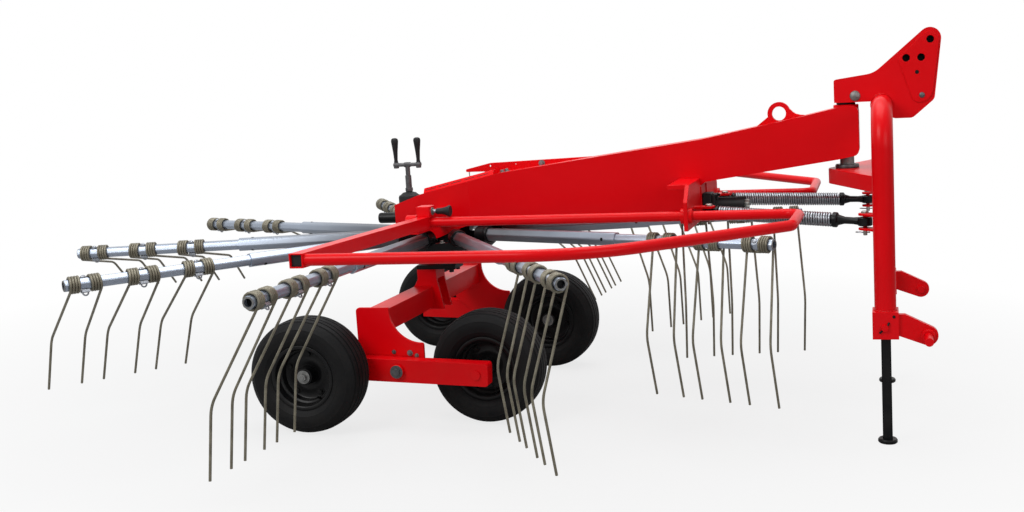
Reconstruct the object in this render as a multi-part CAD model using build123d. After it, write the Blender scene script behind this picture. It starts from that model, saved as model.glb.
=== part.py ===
from build123d import *
import math
import os

# Single rotor hay rake for a tractor's three point hitch, in millimetres.
# +X points to the tractor, +Y to the machine's left, Z = 0 is the ground.
# The frame is drawn level, with the rotor axis at X = 0, and then pitched nose up as it parks.

# Stance
PITCH = 2.5
ROTOR_Z = 610.0
ORIGIN_X = 192.0

# Running clearances
PIN_CLEARANCE = 0.3
SEAT_GAP = 0.2

# Wheels and rockers
WHEEL_DIAMETER = 402.0
TYRE_WIDTH = 155.0
TREAD_WIDTH = 112.0
SHOULDER_RADIUS = 26.0
SHOULDER_SLOPE = 5.0
TREAD_EDGE = 6.0
TREAD_CROWN = 14.0
BEAD_BEVEL = 4.0
RIM_DIAMETER = 208.0
RIM_WIDTH = 130.0
RIM_WALL = 5.0
RIM_LIP = 9.0
DISC_THICKNESS = 8.0
HUB_RADIUS = 30.0
HUB_LENGTH = 96.0
AXLE_RADIUS = 15.0
REAR_WHEEL_X = -266.0
REAR_WHEEL_Y = 640.0
FRONT_WHEEL_X = 306.0
FRONT_WHEEL_Y = 400.0
ROCKER_Y = 527.5
ROCKER_WIDTH = 50.0
ROCKER_HEIGHT = 80.0
ROCKER_WALL = 6.0
ROCKER_OVERHANG = 42.0
ROCKER_NOSE = 10.0
PIVOT_X = 2.0
PIVOT_RADIUS = 16.0
PIVOT_HEAD_RADIUS = 24.0
PIVOT_HEAD_LENGTH = 10.0

# Undercarriage frame
CROSS_TUBE = 80.0
CROSS_X = -92.0
CROSS_Z = 366.0
SIDE_PLATE = 12.0
SIDE_PLATE_GAP = 3.0
SIDE_PLATE_TOP = 415.0
SIDE_PLATE_REAR = -164.0
SIDE_PLATE_SHOULDER = -40.0
SIDE_PLATE_FRONT = 82.0
SIDE_PLATE_FRONT_TOP = 288.0
SIDE_PLATE_FRONT_LOW = 236.0
SIDE_PLATE_BOTTOM = 160.0
SIDE_PLATE_REAR_LOW = 262.0
SIDE_PLATE_FOOT = 40.0
SIDE_PLATE_SWEEP = 116.0
SIDE_PLATE_ROUND = 14.0
FORK_PLATE = 12.0
FORK_SPREAD = 92.0
FORK_TOP_Z = 490.0
FORK_CAP = 16.0
FORK_HEAD_X = 46.0
FORK_REAR_X = -112.0
FORK_WAIST_X = -34.0
FORK_WAIST_Z = 436.0
FORK_FOOT_X = -10.0
FORK_FOOT_LOW = 318.0

# Rotor
AXLE_POST_RADIUS = 40.0
BOWL_RADIUS = 192.0
BOWL_WALL = 18.0
BOWL_BOTTOM_Z = 500.0
BOWL_TOP_Z = 594.0
BOWL_FLOOR = 20.0
BOWL_FOOT_RADIUS = 114.0
BOWL_FOOT_HEIGHT = 66.0
BOWL_BORE_GAP = 0.3
ARM_BOSS_RADIUS = 32.0
ARM_BOSS_OUT = 14.0
ARM_BOSS_IN = 6.0
GEAR_CASE_RADIUS = 100.0
GEAR_CASE_BOTTOM_Z = 532.0
GEAR_NECK_RADIUS = 34.0
ARM_COUNT = 10
ARM_PHASE = -20.0
INNER_ARM_FLATS = 46.0
OUTER_ARM_FLATS = 36.0
OUTER_ARM_WALL = 4.5
INNER_ARM_END = 790.0
ARM_PLUG = 110.0
ARM_END = 1395.0

# Tines
TINE_INSET = 60.0
TINE_START_SHARE = 0.3
TINE_PAIRS = 3
WIRE_RADIUS = 4.75
COIL_RADIUS = 25.0
COIL_LENGTH = 38.0
COIL_SPREAD = 31.0
SADDLE_RADIUS = 27.0
TINE_FOOT_SPREAD = 54.0
KNEE_BACK = 26.0
KNEE_DROP = 335.0
TINE_DROP = 550.0
TIP_AHEAD = 35.0
KNEE_BEND = 60.0
CAM_LIFT = 80.0
CAM_CENTRE = 165.0
CAM_WIDTH = 92.0

# Main beam
BEAM_WIDTH = 130.0
BEAM_REAR_WIDTH = 76.0
FLARE_REAR = -79.0
FLARE_FRONT = 127.0
BEAM_REAR_X = -188.0
BEAM_REAR_TOP = 727.0
BEAM_FRONT_X = 1580.0
BEAM_FRONT_LOW = 862.0
BEAM_TOP = 1034.0
BEAM_BELLY_Z = 650.0
BEAM_STEP_X = 1000.0
BEAM_STEP_Z = 760.0
TAIL_GAP = 24.0
TAIL_LOW = 578.0
NECK_Z = 766.0
SHOULDER = (259.0, 841.0)
WAIST = (417.0, 860.0)
RISE = (1021.0, 937.0)
BROW = (1378.0, 1003.0)
CROWN_X = 1530.0
CHIN = (1507.0, 848.0)
THROAT = (1232.0, 811.0)
STEP_HEAD = (1033.0, 784.0)
BELLY_X = 140.0
BELLY_DIP = (88.0, 636.0)
TAIL_TOP = (-5.0, 600.0)
TAIL_BEND_X = -76.0
WINDOW_X = -98.0
WINDOW_LENGTH = 76.0
WINDOW_Z = 602.0
WINDOW_HEIGHT = 30.0
WINDOW_DEPTH = 14.0
NOSE_RADIUS = 22.0
LIFT_EYE_X = 1300.0
LIFT_EYE_Z = 1016.0
LIFT_EYE_RADIUS = 41.0
LIFT_EYE_BORE = 25.0
LIFT_EYE_PLATE = 20.0
LIFT_EYE_BASE = 172.0
LIFT_EYE_DROP = 46.0
LIFT_EYE_SHOULDER = 10.0
LIFT_EYE_NECK = 39.0

# Guards
GUARD_TUBE = 17.0
GUARD_Y = 340.0
GUARD_Z = 694.0
GUARD_RISE = 1.0
GUARD_REAR_X = 38.0
GUARD_NOSE_X = 1388.0
GUARD_NOSE_RADIUS = 46.0
GUARD_NOSE_WIDTH = 350.0
GUARD_CORNER_X = 890.0
GUARD_CORNER_Y = 1280.0
GUARD_CORNER_RADIUS = 420.0
GUARD_END_Y = 1288.0
GUARD_ARM = 42.0
GUARD_ARM_WALL = 4.0
COLLAR_RADIUS = 27.0
COLLAR_LENGTH = 40.0
REAR_COLLAR_X = 10.0
COLLAR_ARM = 38.0

# Strut crossbar and drive input
CROSSBAR_PLATE = 14.0
CROSSBAR_LOW = 645.0
CROSSBAR_HIGH = 798.0
CROSSBAR_LEDGE = 76.0
CROSSBAR_LEDGE_Y = 315.0
CROSSBAR_END = 30.0
INPUT_Z = 694.0
INPUT_SHAFT_RADIUS = 17.4
INPUT_SHAFT_END = 1182.0
INPUT_GUARD_RADIUS = 29.0
INPUT_GUARD_WALL = 3.0
INPUT_GUARD_START = 1062.0
INPUT_GUARD_END = 1168.0
INPUT_BLOCK_WIDTH = 76.0
INPUT_BLOCK_LOW = 662.0
INPUT_BLOCK_HIGH = 738.0

# Headstock
KINGPIN_X = 1536.0
KINGPIN_RADIUS = 25.0
KINGPIN_LOW = 752.0
KINGPIN_HIGH = 1112.0
KINGPIN_HEAD_RADIUS = 36.0
KINGPIN_HEAD = 12.0
LEG_X = 1660.0
LEG_Y = 390.0
LEG_RADIUS = 35.0
LEG_BORE = 29.0
LEG_LOW = 332.0
LEG_BORE_TOP = 780.0
BOW_Z = 1034.0
BOW_BEND = 130.0
YOKE_LOW = 760.0
YOKE_HIGH = 814.0
YOKE_BOSS = 66.0
YOKE_END_WIDTH = 92.0
MAST_PLATE = 12.0
MAST_GAP = 80.0
MAST_BLOCK_HIGH = 1092.0
MAST_BLOCK_LOW = 1046.0
MAST_REAR_X = 1497.0
MAST_REAR_TOP = 1126.0
MAST_ELBOW = (1634.0, 1143.0)
MAST_ELBOW_RADIUS = 90.0
MAST_TIP = (1873.6, 1343.4)
MAST_TIP_RADIUS = 38.0
MAST_KNEE = (1838.0, 1046.0)
MAST_HEEL = (1764.0, 984.0)
MAST_TOE = (1700.0, 984.0)
MAST_ROUND = 26.0
MAST_CORNER = 8.0
MAST_BLOCK_FRONT = 1622.0
TOP_PIN_RADIUS = 12.85
TOP_PIN_X = 1826.0
TOP_PIN_Z = 1250.0
LOW_PIN_REACH = 134.0
LOW_PIN_Z = 296.0
LOW_HOLE_Z = 1190.0
LOW_HOLE_X = 1745.0
MID_HOLE_X = 1795.0

# Lower hitch
HITCH_BOX_LENGTH = 84.0
HITCH_BOX_WIDTH = 92.0
HITCH_BOX_LOW = 286.0
HITCH_BOX_HIGH = 376.0
HITCH_ARM = 22.0
HITCH_ARM_RADIUS = 32.0
HITCH_ARM_Y = 402.0
HITCH_PIN_RADIUS = 14.2
HITCH_PIN_LENGTH = 96.0
HITCH_PIN_TAIL = 12.0
HITCH_ARM_ROOT = 20.0
HITCH_ARM_DEPTH = 72.0
HITCH_ARM_RISE = 45.0

# Parking stands
STAND_WIDTH = 32.0
STAND_WALL = 4.0
STAND_TOP = 440.0
STAND_GUIDE_GAP = 0.5
FOOT_RADIUS = 32.0
FOOT_HEIGHT = 14.0

# Centring struts
STRUT_REAR_X = 1065.0
STRUT_REAR_Y = 215.0
STRUT_REAR_Z = 690.0
STRUT_EYE_X = 1600.0
STRUT_EYE_Y = 335.0
STRUT_EYE_Z = 662.0
STRUT_PIN = 8.0
STRUT_REAR_EYE = 19.0
STRUT_EYE_HEIGHT = 28.0
STRUT_EYE_GAP = 1.0
STRUT_TUBE_RADIUS = 12.0
STRUT_BORE = 8.5
STRUT_ROD = 8.0
STRUT_TUBE_END = 330.0
STRUT_ROD_START = 230.0
STRUT_COLLAR_RADIUS = 25.5
STRUT_COLLAR_BACK = 108.0
STRUT_COLLAR_LENGTH = 22.0
STRUT_SEAT = 26.0
STRUT_SEAT_LENGTH = 10.0
STRUT_FRONT_EYE = 24.0
STRUT_FRONT_BORE = 15.0
STRUT_FRONT_PIN = 7.0
SPRING_RADIUS = 25.0
SPRING_WIRE = 6.5
EAR_PLATE = 8.0
EAR_GAP = 40.0
EAR_RADIUS = 22.0

# Height adjuster and storage rail
CRANK_SETBACK = 50.0
CRANK_RADIUS = 10.0
CRANK_BAR_Z = 880.0
CRANK_REACH = 46.0
GRIP_HEIGHT = 104.0
GRIP_LOW_RADIUS = 10.0
GRIP_HIGH_RADIUS = 14.0
BOOT_RADIUS = 44.0
BOOT_TOP = 776.0
BOOT_LOW = 720.0
ADJUSTER_TUBE_RADIUS = 21.0
ADJUSTER_TUBE_LENGTH = 80.0
ADJUSTER_TUBE_Z = 674.0
RAIL_PLATE = 8.0
RAIL_Y = 48.0
RAIL_REAR = 82.0
RAIL_FRONT = 600.0
RAIL_HIGH = 884.0
RAIL_LOW = 838.0
RAIL_CHAMFER = 100.0
RAIL_SLOPE = 12.0
RAIL_NOTCH = 34.0

AXLE_Z = WHEEL_DIAMETER / 2
CRANK_X = BEAM_REAR_X + CRANK_SETBACK
LOW_PIN_X = LEG_X + LOW_PIN_REACH
SIDES = {"left": 1.0, "right": -1.0}


def pitched(shape):
    """Turns a piece of the level drawing nose up about the rotor's centre."""
    axis = Axis((0, 0, ROTOR_Z), (0, 1, 0))
    return shape.rotate(axis, -PITCH)


def pitched_point(x, z):
    """Where a point of the level drawing lies once the frame is pitched."""
    turn = math.radians(PITCH)
    rise = z - ROTOR_Z
    return (
        x * math.cos(turn) - rise * math.sin(turn),
        ROTOR_Z + x * math.sin(turn) + rise * math.cos(turn),
    )


def block(x, y, z):
    """A box from three (low, high) pairs."""
    size = [high - low for low, high in (x, y, z)]
    centre = [(high + low) / 2 for low, high in (x, y, z)]
    return Pos(*centre) * Box(*size)


def rod(start, end, radius):
    """A round bar from one point to another."""
    start = Vector(*start)
    end = Vector(*end)
    plane = Plane(origin=start, z_dir=end - start)
    return extrude(plane * Circle(radius), (end - start).length)


def plate(outline, y_low, y_high):
    """A side plate: an (X, Z) outline extruded across the machine."""
    face = make_face(Polyline(*[(x, 0, z) for x, z in outline], close=True))
    solid = extrude(face, amount=y_high - y_low, dir=(0, 1, 0))
    return Pos(0, y_low, 0) * solid


def rounded_plate(corners, y_low, y_high):
    """A side plate from (X, Z) corners, each rounded by its own radius."""
    solid = plate(list(corners), y_low, y_high)
    middle = (y_low + y_high) / 2
    for (x, z), radius in corners.items():
        nearest = solid.edges().filter_by(Axis.Y).sort_by_distance((x, middle, z))[0]
        solid = fillet(nearest, radius)
    return solid


def upright(x, y, z_low, z_high, radius):
    return rod((x, y, z_low), (x, y, z_high), radius)


def crosswise(x, z, y_low, y_high, radius):
    return rod((x, y_low, z), (x, y_high, z), radius)


def hexagon_bar(flats, start, end):
    """A hexagonal bar along X about the X axis, with a corner on top."""
    corner = flats / math.sqrt(3)
    face = Plane.YZ * RegularPolygon(corner, 6, rotation=30)
    return Pos(start, 0, 0) * extrude(face, end - start)


def beam_outline():
    """Side view of the swan necked beam, whose tail stands inside the rotor's bowl."""
    tail_x = BOWL_WALL + TAIL_GAP - BOWL_RADIUS
    return [
        (BEAM_REAR_X, BEAM_REAR_TOP),
        (FLARE_REAR, NECK_Z),
        SHOULDER,
        WAIST,
        RISE,
        BROW,
        (CROWN_X, BEAM_TOP),
        (BEAM_FRONT_X, BEAM_TOP),
        (BEAM_FRONT_X, BEAM_FRONT_LOW),
        CHIN,
        THROAT,
        STEP_HEAD,
        (BEAM_STEP_X, BEAM_STEP_Z),
        (BEAM_STEP_X, BEAM_BELLY_Z),
        (BELLY_X, BEAM_BELLY_Z),
        BELLY_DIP,
        TAIL_TOP,
        (TAIL_BEND_X, TAIL_LOW),
        (tail_x, TAIL_LOW),
        (tail_x, BEAM_BELLY_Z),
        (BEAM_REAR_X, BEAM_BELLY_Z),
    ]


def beam_plan():
    """Plan view of the beam, which flares from the narrow tail to its full width."""
    rear = BEAM_REAR_WIDTH / 2
    front = BEAM_WIDTH / 2
    edge = [(BEAM_REAR_X, rear), (FLARE_REAR, rear), (FLARE_FRONT, front), (BEAM_FRONT_X, front)]
    outline = edge + [(x, -y) for x, y in reversed(edge)]
    return extrude(make_face(Polyline(*outline, close=True)), 2 * BEAM_TOP)


def bare_beam():
    half = BEAM_WIDTH / 2
    beam = plate(beam_outline(), -half, half)
    nose = [e for e in beam.edges().filter_by(Axis.Y) if e.center().X > BEAM_FRONT_X - 1]
    return fillet(nose, NOSE_RADIUS) & beam_plan()


def lift_eye():
    half = LIFT_EYE_PLATE / 2
    low = LIFT_EYE_Z - LIFT_EYE_DROP
    shoulder = LIFT_EYE_Z - LIFT_EYE_SHOULDER
    ring = crosswise(LIFT_EYE_X, LIFT_EYE_Z, -half, half, LIFT_EYE_RADIUS)
    foot = plate(
        [
            (LIFT_EYE_X - LIFT_EYE_BASE / 2, low),
            (LIFT_EYE_X + LIFT_EYE_BASE / 2, low),
            (LIFT_EYE_X + LIFT_EYE_NECK, shoulder),
            (LIFT_EYE_X - LIFT_EYE_NECK, shoulder),
        ],
        -half,
        half,
    )
    hole = crosswise(LIFT_EYE_X, LIFT_EYE_Z, -half, half, LIFT_EYE_BORE)
    return ring + foot - hole


def guard_lug(side):
    """Short arm from the beam to the guard's rear collar."""
    half = COLLAR_ARM / 2
    inner = side * BEAM_REAR_WIDTH / 2
    outer = side * GUARD_Y
    arm = block(
        (REAR_COLLAR_X - half, REAR_COLLAR_X + half),
        (min(inner, outer), max(inner, outer)),
        (BEAM_BELLY_Z, GUARD_Z + half),
    )
    return arm - bare_beam() + collar(REAR_COLLAR_X, side) - collar_bore(REAR_COLLAR_X, side)


def collar(x, side):
    start = (x - COLLAR_LENGTH / 2, side * GUARD_Y, GUARD_Z)
    end = (x + COLLAR_LENGTH / 2, side * GUARD_Y, GUARD_Z)
    return rod(start, end, COLLAR_RADIUS)


def collar_bore(x, side):
    start = (x - COLLAR_LENGTH, side * GUARD_Y, GUARD_Z)
    end = (x + COLLAR_LENGTH, side * GUARD_Y, GUARD_Z)
    return rod(start, end, GUARD_TUBE + PIN_CLEARANCE)


def main_beam():
    beam = bare_beam() + lift_eye()
    bore = upright(KINGPIN_X, 0, KINGPIN_LOW, KINGPIN_HIGH, KINGPIN_RADIUS + SEAT_GAP)
    side = BEAM_REAR_WIDTH / 2 - WINDOW_DEPTH
    window = Box(WINDOW_LENGTH, BEAM_WIDTH, WINDOW_HEIGHT) - Box(WINDOW_LENGTH, 2 * side, WINDOW_HEIGHT)
    return beam - bore - Pos(WINDOW_X, 0, WINDOW_Z) * window


def gear_case():
    """Fixed cam and gear housing under the beam, with its axle post."""
    case = upright(0, 0, GEAR_CASE_BOTTOM_Z, TAIL_LOW, GEAR_CASE_RADIUS)
    neck = upright(0, 0, TAIL_LOW, BEAM_BELLY_Z, GEAR_NECK_RADIUS) - bare_beam()
    post = upright(0, 0, FORK_TOP_Z, GEAR_CASE_BOTTOM_Z, AXLE_POST_RADIUS)
    half = FORK_SPREAD / 2
    foot = block((FORK_REAR_X, FORK_HEAD_X), (-half, half), (FORK_TOP_Z - FORK_CAP, FORK_TOP_Z))
    return case + neck + post + foot


def crossbar():
    """Folded plate ahead of the beam's step, with strut clevises and guard collars."""
    front = BEAM_STEP_X + CROSSBAR_PLATE
    middle = BEAM_STEP_X + CROSSBAR_PLATE / 2
    end = GUARD_Y + CROSSBAR_END
    across = (-CROSSBAR_LEDGE_Y, CROSSBAR_LEDGE_Y)
    web = block((BEAM_STEP_X, front), (-end, end), (CROSSBAR_LOW, CROSSBAR_HIGH))
    top_corners = [e for e in web.edges().filter_by(Axis.X) if e.center().Z > GUARD_Z]
    web = chamfer(top_corners, end - CROSSBAR_LEDGE_Y)
    ledge_low = CROSSBAR_HIGH - CROSSBAR_PLATE
    ledge = block((front - CROSSBAR_LEDGE, front), across, (ledge_low, CROSSBAR_HIGH))
    bar = web + ledge - bare_beam()
    for side in SIDES.values():
        bar += collar(middle, side)
        bar -= collar_bore(middle, side)
        bar += strut_clevis(side, front)
    return bar


def strut_clevis(side, front):
    y = side * STRUT_REAR_Y
    half = STRUT_EYE_HEIGHT / 2 + STRUT_EYE_GAP
    clevis = upright(STRUT_REAR_X, y, STRUT_REAR_Z - half, STRUT_REAR_Z + half, STRUT_PIN)
    for low in (STRUT_REAR_Z - half - EAR_PLATE, STRUT_REAR_Z + half):
        clevis += upright(STRUT_REAR_X, y, low, low + EAR_PLATE, EAR_RADIUS)
        clevis += block(
            (front, STRUT_REAR_X), (y - EAR_RADIUS, y + EAR_RADIUS), (low, low + EAR_PLATE)
        )
    return clevis


def drive_input():
    """Bearing block on the crossbar with the splined shaft in its open guard."""
    half = INPUT_BLOCK_WIDTH / 2
    rear = BEAM_STEP_X + CROSSBAR_PLATE
    bearing = block((rear, INPUT_GUARD_START), (-half, half), (INPUT_BLOCK_LOW, INPUT_BLOCK_HIGH))
    shaft = rod((rear, 0, INPUT_Z), (INPUT_SHAFT_END, 0, INPUT_Z), INPUT_SHAFT_RADIUS)
    cover = rod(
        (INPUT_GUARD_START, 0, INPUT_Z), (INPUT_GUARD_END, 0, INPUT_Z), INPUT_GUARD_RADIUS
    )
    inside = rod(
        (INPUT_GUARD_START, 0, INPUT_Z),
        (INPUT_GUARD_END, 0, INPUT_Z),
        INPUT_GUARD_RADIUS - INPUT_GUARD_WALL,
    )
    return bearing + (cover - inside) + shaft


def side_plate(y_low, y_high):
    """Plate from the cross tube down to the rocker pivot, with a swept front."""
    corners = {
        (SIDE_PLATE_REAR, SIDE_PLATE_TOP): SIDE_PLATE_ROUND,
        (SIDE_PLATE_SHOULDER, SIDE_PLATE_TOP): SIDE_PLATE_ROUND / 2,
        (SIDE_PLATE_SHOULDER, SIDE_PLATE_FRONT_TOP): SIDE_PLATE_SWEEP,
        (SIDE_PLATE_FRONT, SIDE_PLATE_FRONT_TOP): SIDE_PLATE_ROUND / 2,
        (SIDE_PLATE_FRONT, SIDE_PLATE_FRONT_LOW): SIDE_PLATE_ROUND,
        (PIVOT_X + SIDE_PLATE_FOOT, SIDE_PLATE_BOTTOM): SIDE_PLATE_ROUND,
        (PIVOT_X - SIDE_PLATE_FOOT, SIDE_PLATE_BOTTOM): SIDE_PLATE_ROUND,
        (SIDE_PLATE_REAR, SIDE_PLATE_REAR_LOW): SIDE_PLATE_ROUND,
    }
    return rounded_plate(corners, y_low, y_high)


def undercarriage():
    """Cross tube, fork and side plates that carry the rockers."""
    plate_outer = ROCKER_Y - ROCKER_WIDTH / 2 - SIDE_PLATE_GAP
    plate_inner = plate_outer - SIDE_PLATE
    half = CROSS_TUBE / 2
    frame = block(
        (CROSS_X - half, CROSS_X + half), (-plate_inner, plate_inner), (CROSS_Z - half, CROSS_Z + half)
    )
    for side in SIDES.values():
        ends = sorted((side * plate_inner, side * plate_outer))
        frame += side_plate(*ends)
        pin_end = side * (ROCKER_Y + ROCKER_WIDTH / 2 + SIDE_PLATE_GAP)
        frame += crosswise(PIVOT_X, PIVOT_Z, side * plate_inner, pin_end, PIVOT_RADIUS)
        head_end = pin_end + side * PIVOT_HEAD_LENGTH
        frame += crosswise(PIVOT_X, PIVOT_Z, pin_end, head_end, PIVOT_HEAD_RADIUS)
        fork_y = sorted((side * FORK_SPREAD / 2, side * (FORK_SPREAD / 2 - FORK_PLATE)))
        frame += plate(fork_outline(), *fork_y)
    across = (-FORK_SPREAD / 2, FORK_SPREAD / 2)
    column = block((FORK_REAR_X, FORK_WAIST_X), across, (FORK_WAIST_Z, FORK_TOP_Z - FORK_CAP))
    return frame + column


def fork_outline():
    """Side view of a fork plate, which widens down over the cross tube."""
    rear = 2 * CROSS_X - FORK_FOOT_X
    return [
        (FORK_REAR_X, FORK_WAIST_Z),
        (FORK_WAIST_X, FORK_WAIST_Z),
        (FORK_FOOT_X, FORK_FOOT_LOW),
        (rear, FORK_FOOT_LOW),
    ]


def pivot_height():
    """Level drawing height that brings the rocker pivot to axle height once pitched."""
    turn = math.radians(PITCH)
    return ROTOR_Z + (AXLE_Z - ROTOR_Z - PIVOT_X * math.sin(turn)) / math.cos(turn)


PIVOT_Z = pivot_height()


def rocker(side):
    """Tandem rocker: box tube with a stub axle out at the rear and in at the front."""
    pivot_x = pitched_point(PIVOT_X, PIVOT_Z)[0]
    y_low = side * ROCKER_Y - ROCKER_WIDTH / 2
    y_high = side * ROCKER_Y + ROCKER_WIDTH / 2
    rear = REAR_WHEEL_X - ROCKER_OVERHANG
    front = FRONT_WHEEL_X + ROCKER_OVERHANG
    half = ROCKER_HEIGHT / 2
    tube = block((rear, front), (y_low, y_high), (AXLE_Z - half, AXLE_Z + half))
    nose = [edge for edge in tube.edges().filter_by(Axis.Y) if edge.center().X > front - 1]
    tube = fillet(nose, ROCKER_NOSE)
    wall = ROCKER_WALL
    tube -= block(
        (rear, REAR_WHEEL_X - AXLE_RADIUS - 2 * wall),
        (y_low + wall, y_high - wall),
        (AXLE_Z - half + wall, AXLE_Z + half - wall),
    )
    tube -= crosswise(pivot_x, AXLE_Z, y_low, y_high, PIVOT_RADIUS + SEAT_GAP)
    rear_start = side * (ROCKER_Y + ROCKER_WIDTH / 2)
    rear_end = side * (REAR_WHEEL_Y + HUB_LENGTH / 2)
    front_start = side * (ROCKER_Y - ROCKER_WIDTH / 2)
    front_end = side * (FRONT_WHEEL_Y - HUB_LENGTH / 2)
    tube += crosswise(REAR_WHEEL_X, AXLE_Z, rear_start, rear_end, AXLE_RADIUS)
    tube += crosswise(FRONT_WHEEL_X, AXLE_Z, front_start, front_end, AXLE_RADIUS)
    return tube


def wheel_rim():
    """Dished rim with its hub tube, about the Y axis, open side to -Y."""
    half = RIM_WIDTH / 2
    rim = RIM_DIAMETER / 2
    wall = RIM_WALL
    bore = AXLE_RADIUS + PIN_CLEARANCE
    hub = HUB_LENGTH / 2
    profile = [
        (bore, -hub),
        (HUB_RADIUS, -hub),
        (HUB_RADIUS, -DISC_THICKNESS),
        (rim - wall, -DISC_THICKNESS),
        (rim - wall, -half),
        (rim + RIM_LIP, -half),
        (rim + RIM_LIP, -half + wall),
        (rim, -half + wall),
        (rim, half - wall),
        (rim + RIM_LIP, half - wall),
        (rim + RIM_LIP, half),
        (rim - wall, half),
        (rim - wall, DISC_THICKNESS),
        (HUB_RADIUS, DISC_THICKNESS),
        (HUB_RADIUS, hub),
        (bore, hub),
    ]
    face = make_face(Polyline(*[(r, y, 0) for r, y in profile], close=True))
    return revolve(face, Axis.Y)


def tyre():
    """Low pressure ribbed tyre, about the Y axis."""
    outer = WHEEL_DIAMETER / 2
    tread = TREAD_WIDTH / 2
    bulge = TYRE_WIDTH / 2
    bead = RIM_WIDTH / 2 - RIM_WALL - SEAT_GAP
    rim = RIM_DIAMETER / 2 + SEAT_GAP
    lip = rim + RIM_LIP + SEAT_GAP
    middle = (outer + lip) / 2
    right = [
        (rim, bead),
        (lip, bead),
        (lip + BEAD_BEVEL, bead + BEAD_BEVEL),
        (middle, bulge),
        (outer - SHOULDER_RADIUS, bulge - SHOULDER_SLOPE),
        (outer - TREAD_EDGE, tread),
        (outer, tread - TREAD_CROWN),
    ]
    profile = right + [(r, -y) for r, y in reversed(right)]
    face = make_face(Polyline(*[(r, y, 0) for r, y in profile], close=True))
    return revolve(face, Axis.Y)


def rotor_hub():
    """Turning bowl around the fixed gear case, with a bearing boss for each arm."""
    inner = BOWL_RADIUS - BOWL_WALL
    bore = AXLE_POST_RADIUS + BOWL_BORE_GAP
    floor = BOWL_BOTTOM_Z + BOWL_FLOOR
    profile = [
        (bore, BOWL_BOTTOM_Z),
        (BOWL_FOOT_RADIUS, BOWL_BOTTOM_Z),
        (BOWL_RADIUS, BOWL_BOTTOM_Z + BOWL_FOOT_HEIGHT),
        (BOWL_RADIUS, BOWL_TOP_Z),
        (inner, BOWL_TOP_Z),
        (inner, BOWL_BOTTOM_Z + BOWL_FOOT_HEIGHT),
        (BOWL_FOOT_RADIUS, floor),
        (bore, floor),
    ]
    face = make_face(Polyline(*[(r, 0, z) for r, z in profile], close=True))
    bowl = revolve(face, Axis.Z)
    boss = rod((inner - ARM_BOSS_IN, 0, 0), (BOWL_RADIUS + ARM_BOSS_OUT, 0, 0), ARM_BOSS_RADIUS)
    for number in range(ARM_COUNT):
        bowl += on_arm(boss, number)
    return bowl


def arm_angle(number):
    return ARM_PHASE + 360.0 / ARM_COUNT * number


def on_arm(shape, number):
    """Sets a piece drawn along X onto one arm, swivelled as the cam holds that arm."""
    swivel = Rot(-cam_swivel(number), 0, 0)
    return Pos(0, 0, ROTOR_Z) * Rot(0, 0, arm_angle(number)) * swivel * shape


def inner_arm():
    arm = hexagon_bar(INNER_ARM_FLATS, BOWL_RADIUS + ARM_BOSS_OUT, INNER_ARM_END)
    socket = hexagon_bar(OUTER_ARM_FLATS + 2 * SEAT_GAP, INNER_ARM_END - ARM_PLUG, INNER_ARM_END)
    return arm - socket


def outer_arm():
    arm = hexagon_bar(OUTER_ARM_FLATS, INNER_ARM_END - ARM_PLUG, ARM_END)
    hollow = hexagon_bar(OUTER_ARM_FLATS - 2 * OUTER_ARM_WALL, INNER_ARM_END, ARM_END)
    return arm - hollow


def double_tine():
    """Two sprung legs that leave their coils at the front, drawn hanging, trailing towards -Y."""
    barrel = COIL_RADIUS + WIRE_RADIUS
    inner = COIL_SPREAD - COIL_LENGTH / 2
    outer = COIL_SPREAD + COIL_LENGTH / 2
    tine = rod((-inner, 0, 0), (inner, 0, 0), SADDLE_RADIUS)
    for end in (-1, 1):
        tine += rod((end * inner, 0, 0), (end * outer, 0, 0), barrel)
        top = (end * (outer - WIRE_RADIUS), COIL_RADIUS, 0)
        knee = (end * TINE_FOOT_SPREAD, -KNEE_BACK, -KNEE_DROP)
        tip = (end * TINE_FOOT_SPREAD, TIP_AHEAD, -TINE_DROP)
        path = FilletPolyline(top, knee, tip, radius=KNEE_BEND)
        tine += sweep(Plane(origin=top, z_dir=path % 0) * Circle(WIRE_RADIUS), path)
    return tine - hexagon_bar(OUTER_ARM_FLATS + 2 * SEAT_GAP, -2 * outer, 2 * outer)


def cam_swivel(number):
    """How far the cam has lifted an arm's tines, by where the arm stands."""
    away = (arm_angle(number) - CAM_CENTRE + 180.0) % 360.0 - 180.0
    return CAM_LIFT * math.exp(-((away / CAM_WIDTH) ** 2))


def arm_tines(tine, number):
    """The pairs of one arm, spread evenly along the outer tube."""
    first = INNER_ARM_END + TINE_START_SHARE * (ARM_END - INNER_ARM_END)
    pitch = (ARM_END - TINE_INSET - first) / (TINE_PAIRS - 1)
    places = [first + pitch * index for index in range(TINE_PAIRS)]
    return Compound(children=[on_arm(Pos(r, 0, 0) * tine, number) for r in places])


def bent_tube(points, bend):
    """A guard tube along straight runs joined by a bend."""
    path = FilletPolyline(*points, radius=bend)
    return sweep(Plane(origin=path @ 0, z_dir=path % 0) * Circle(GUARD_TUBE), path)


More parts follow.
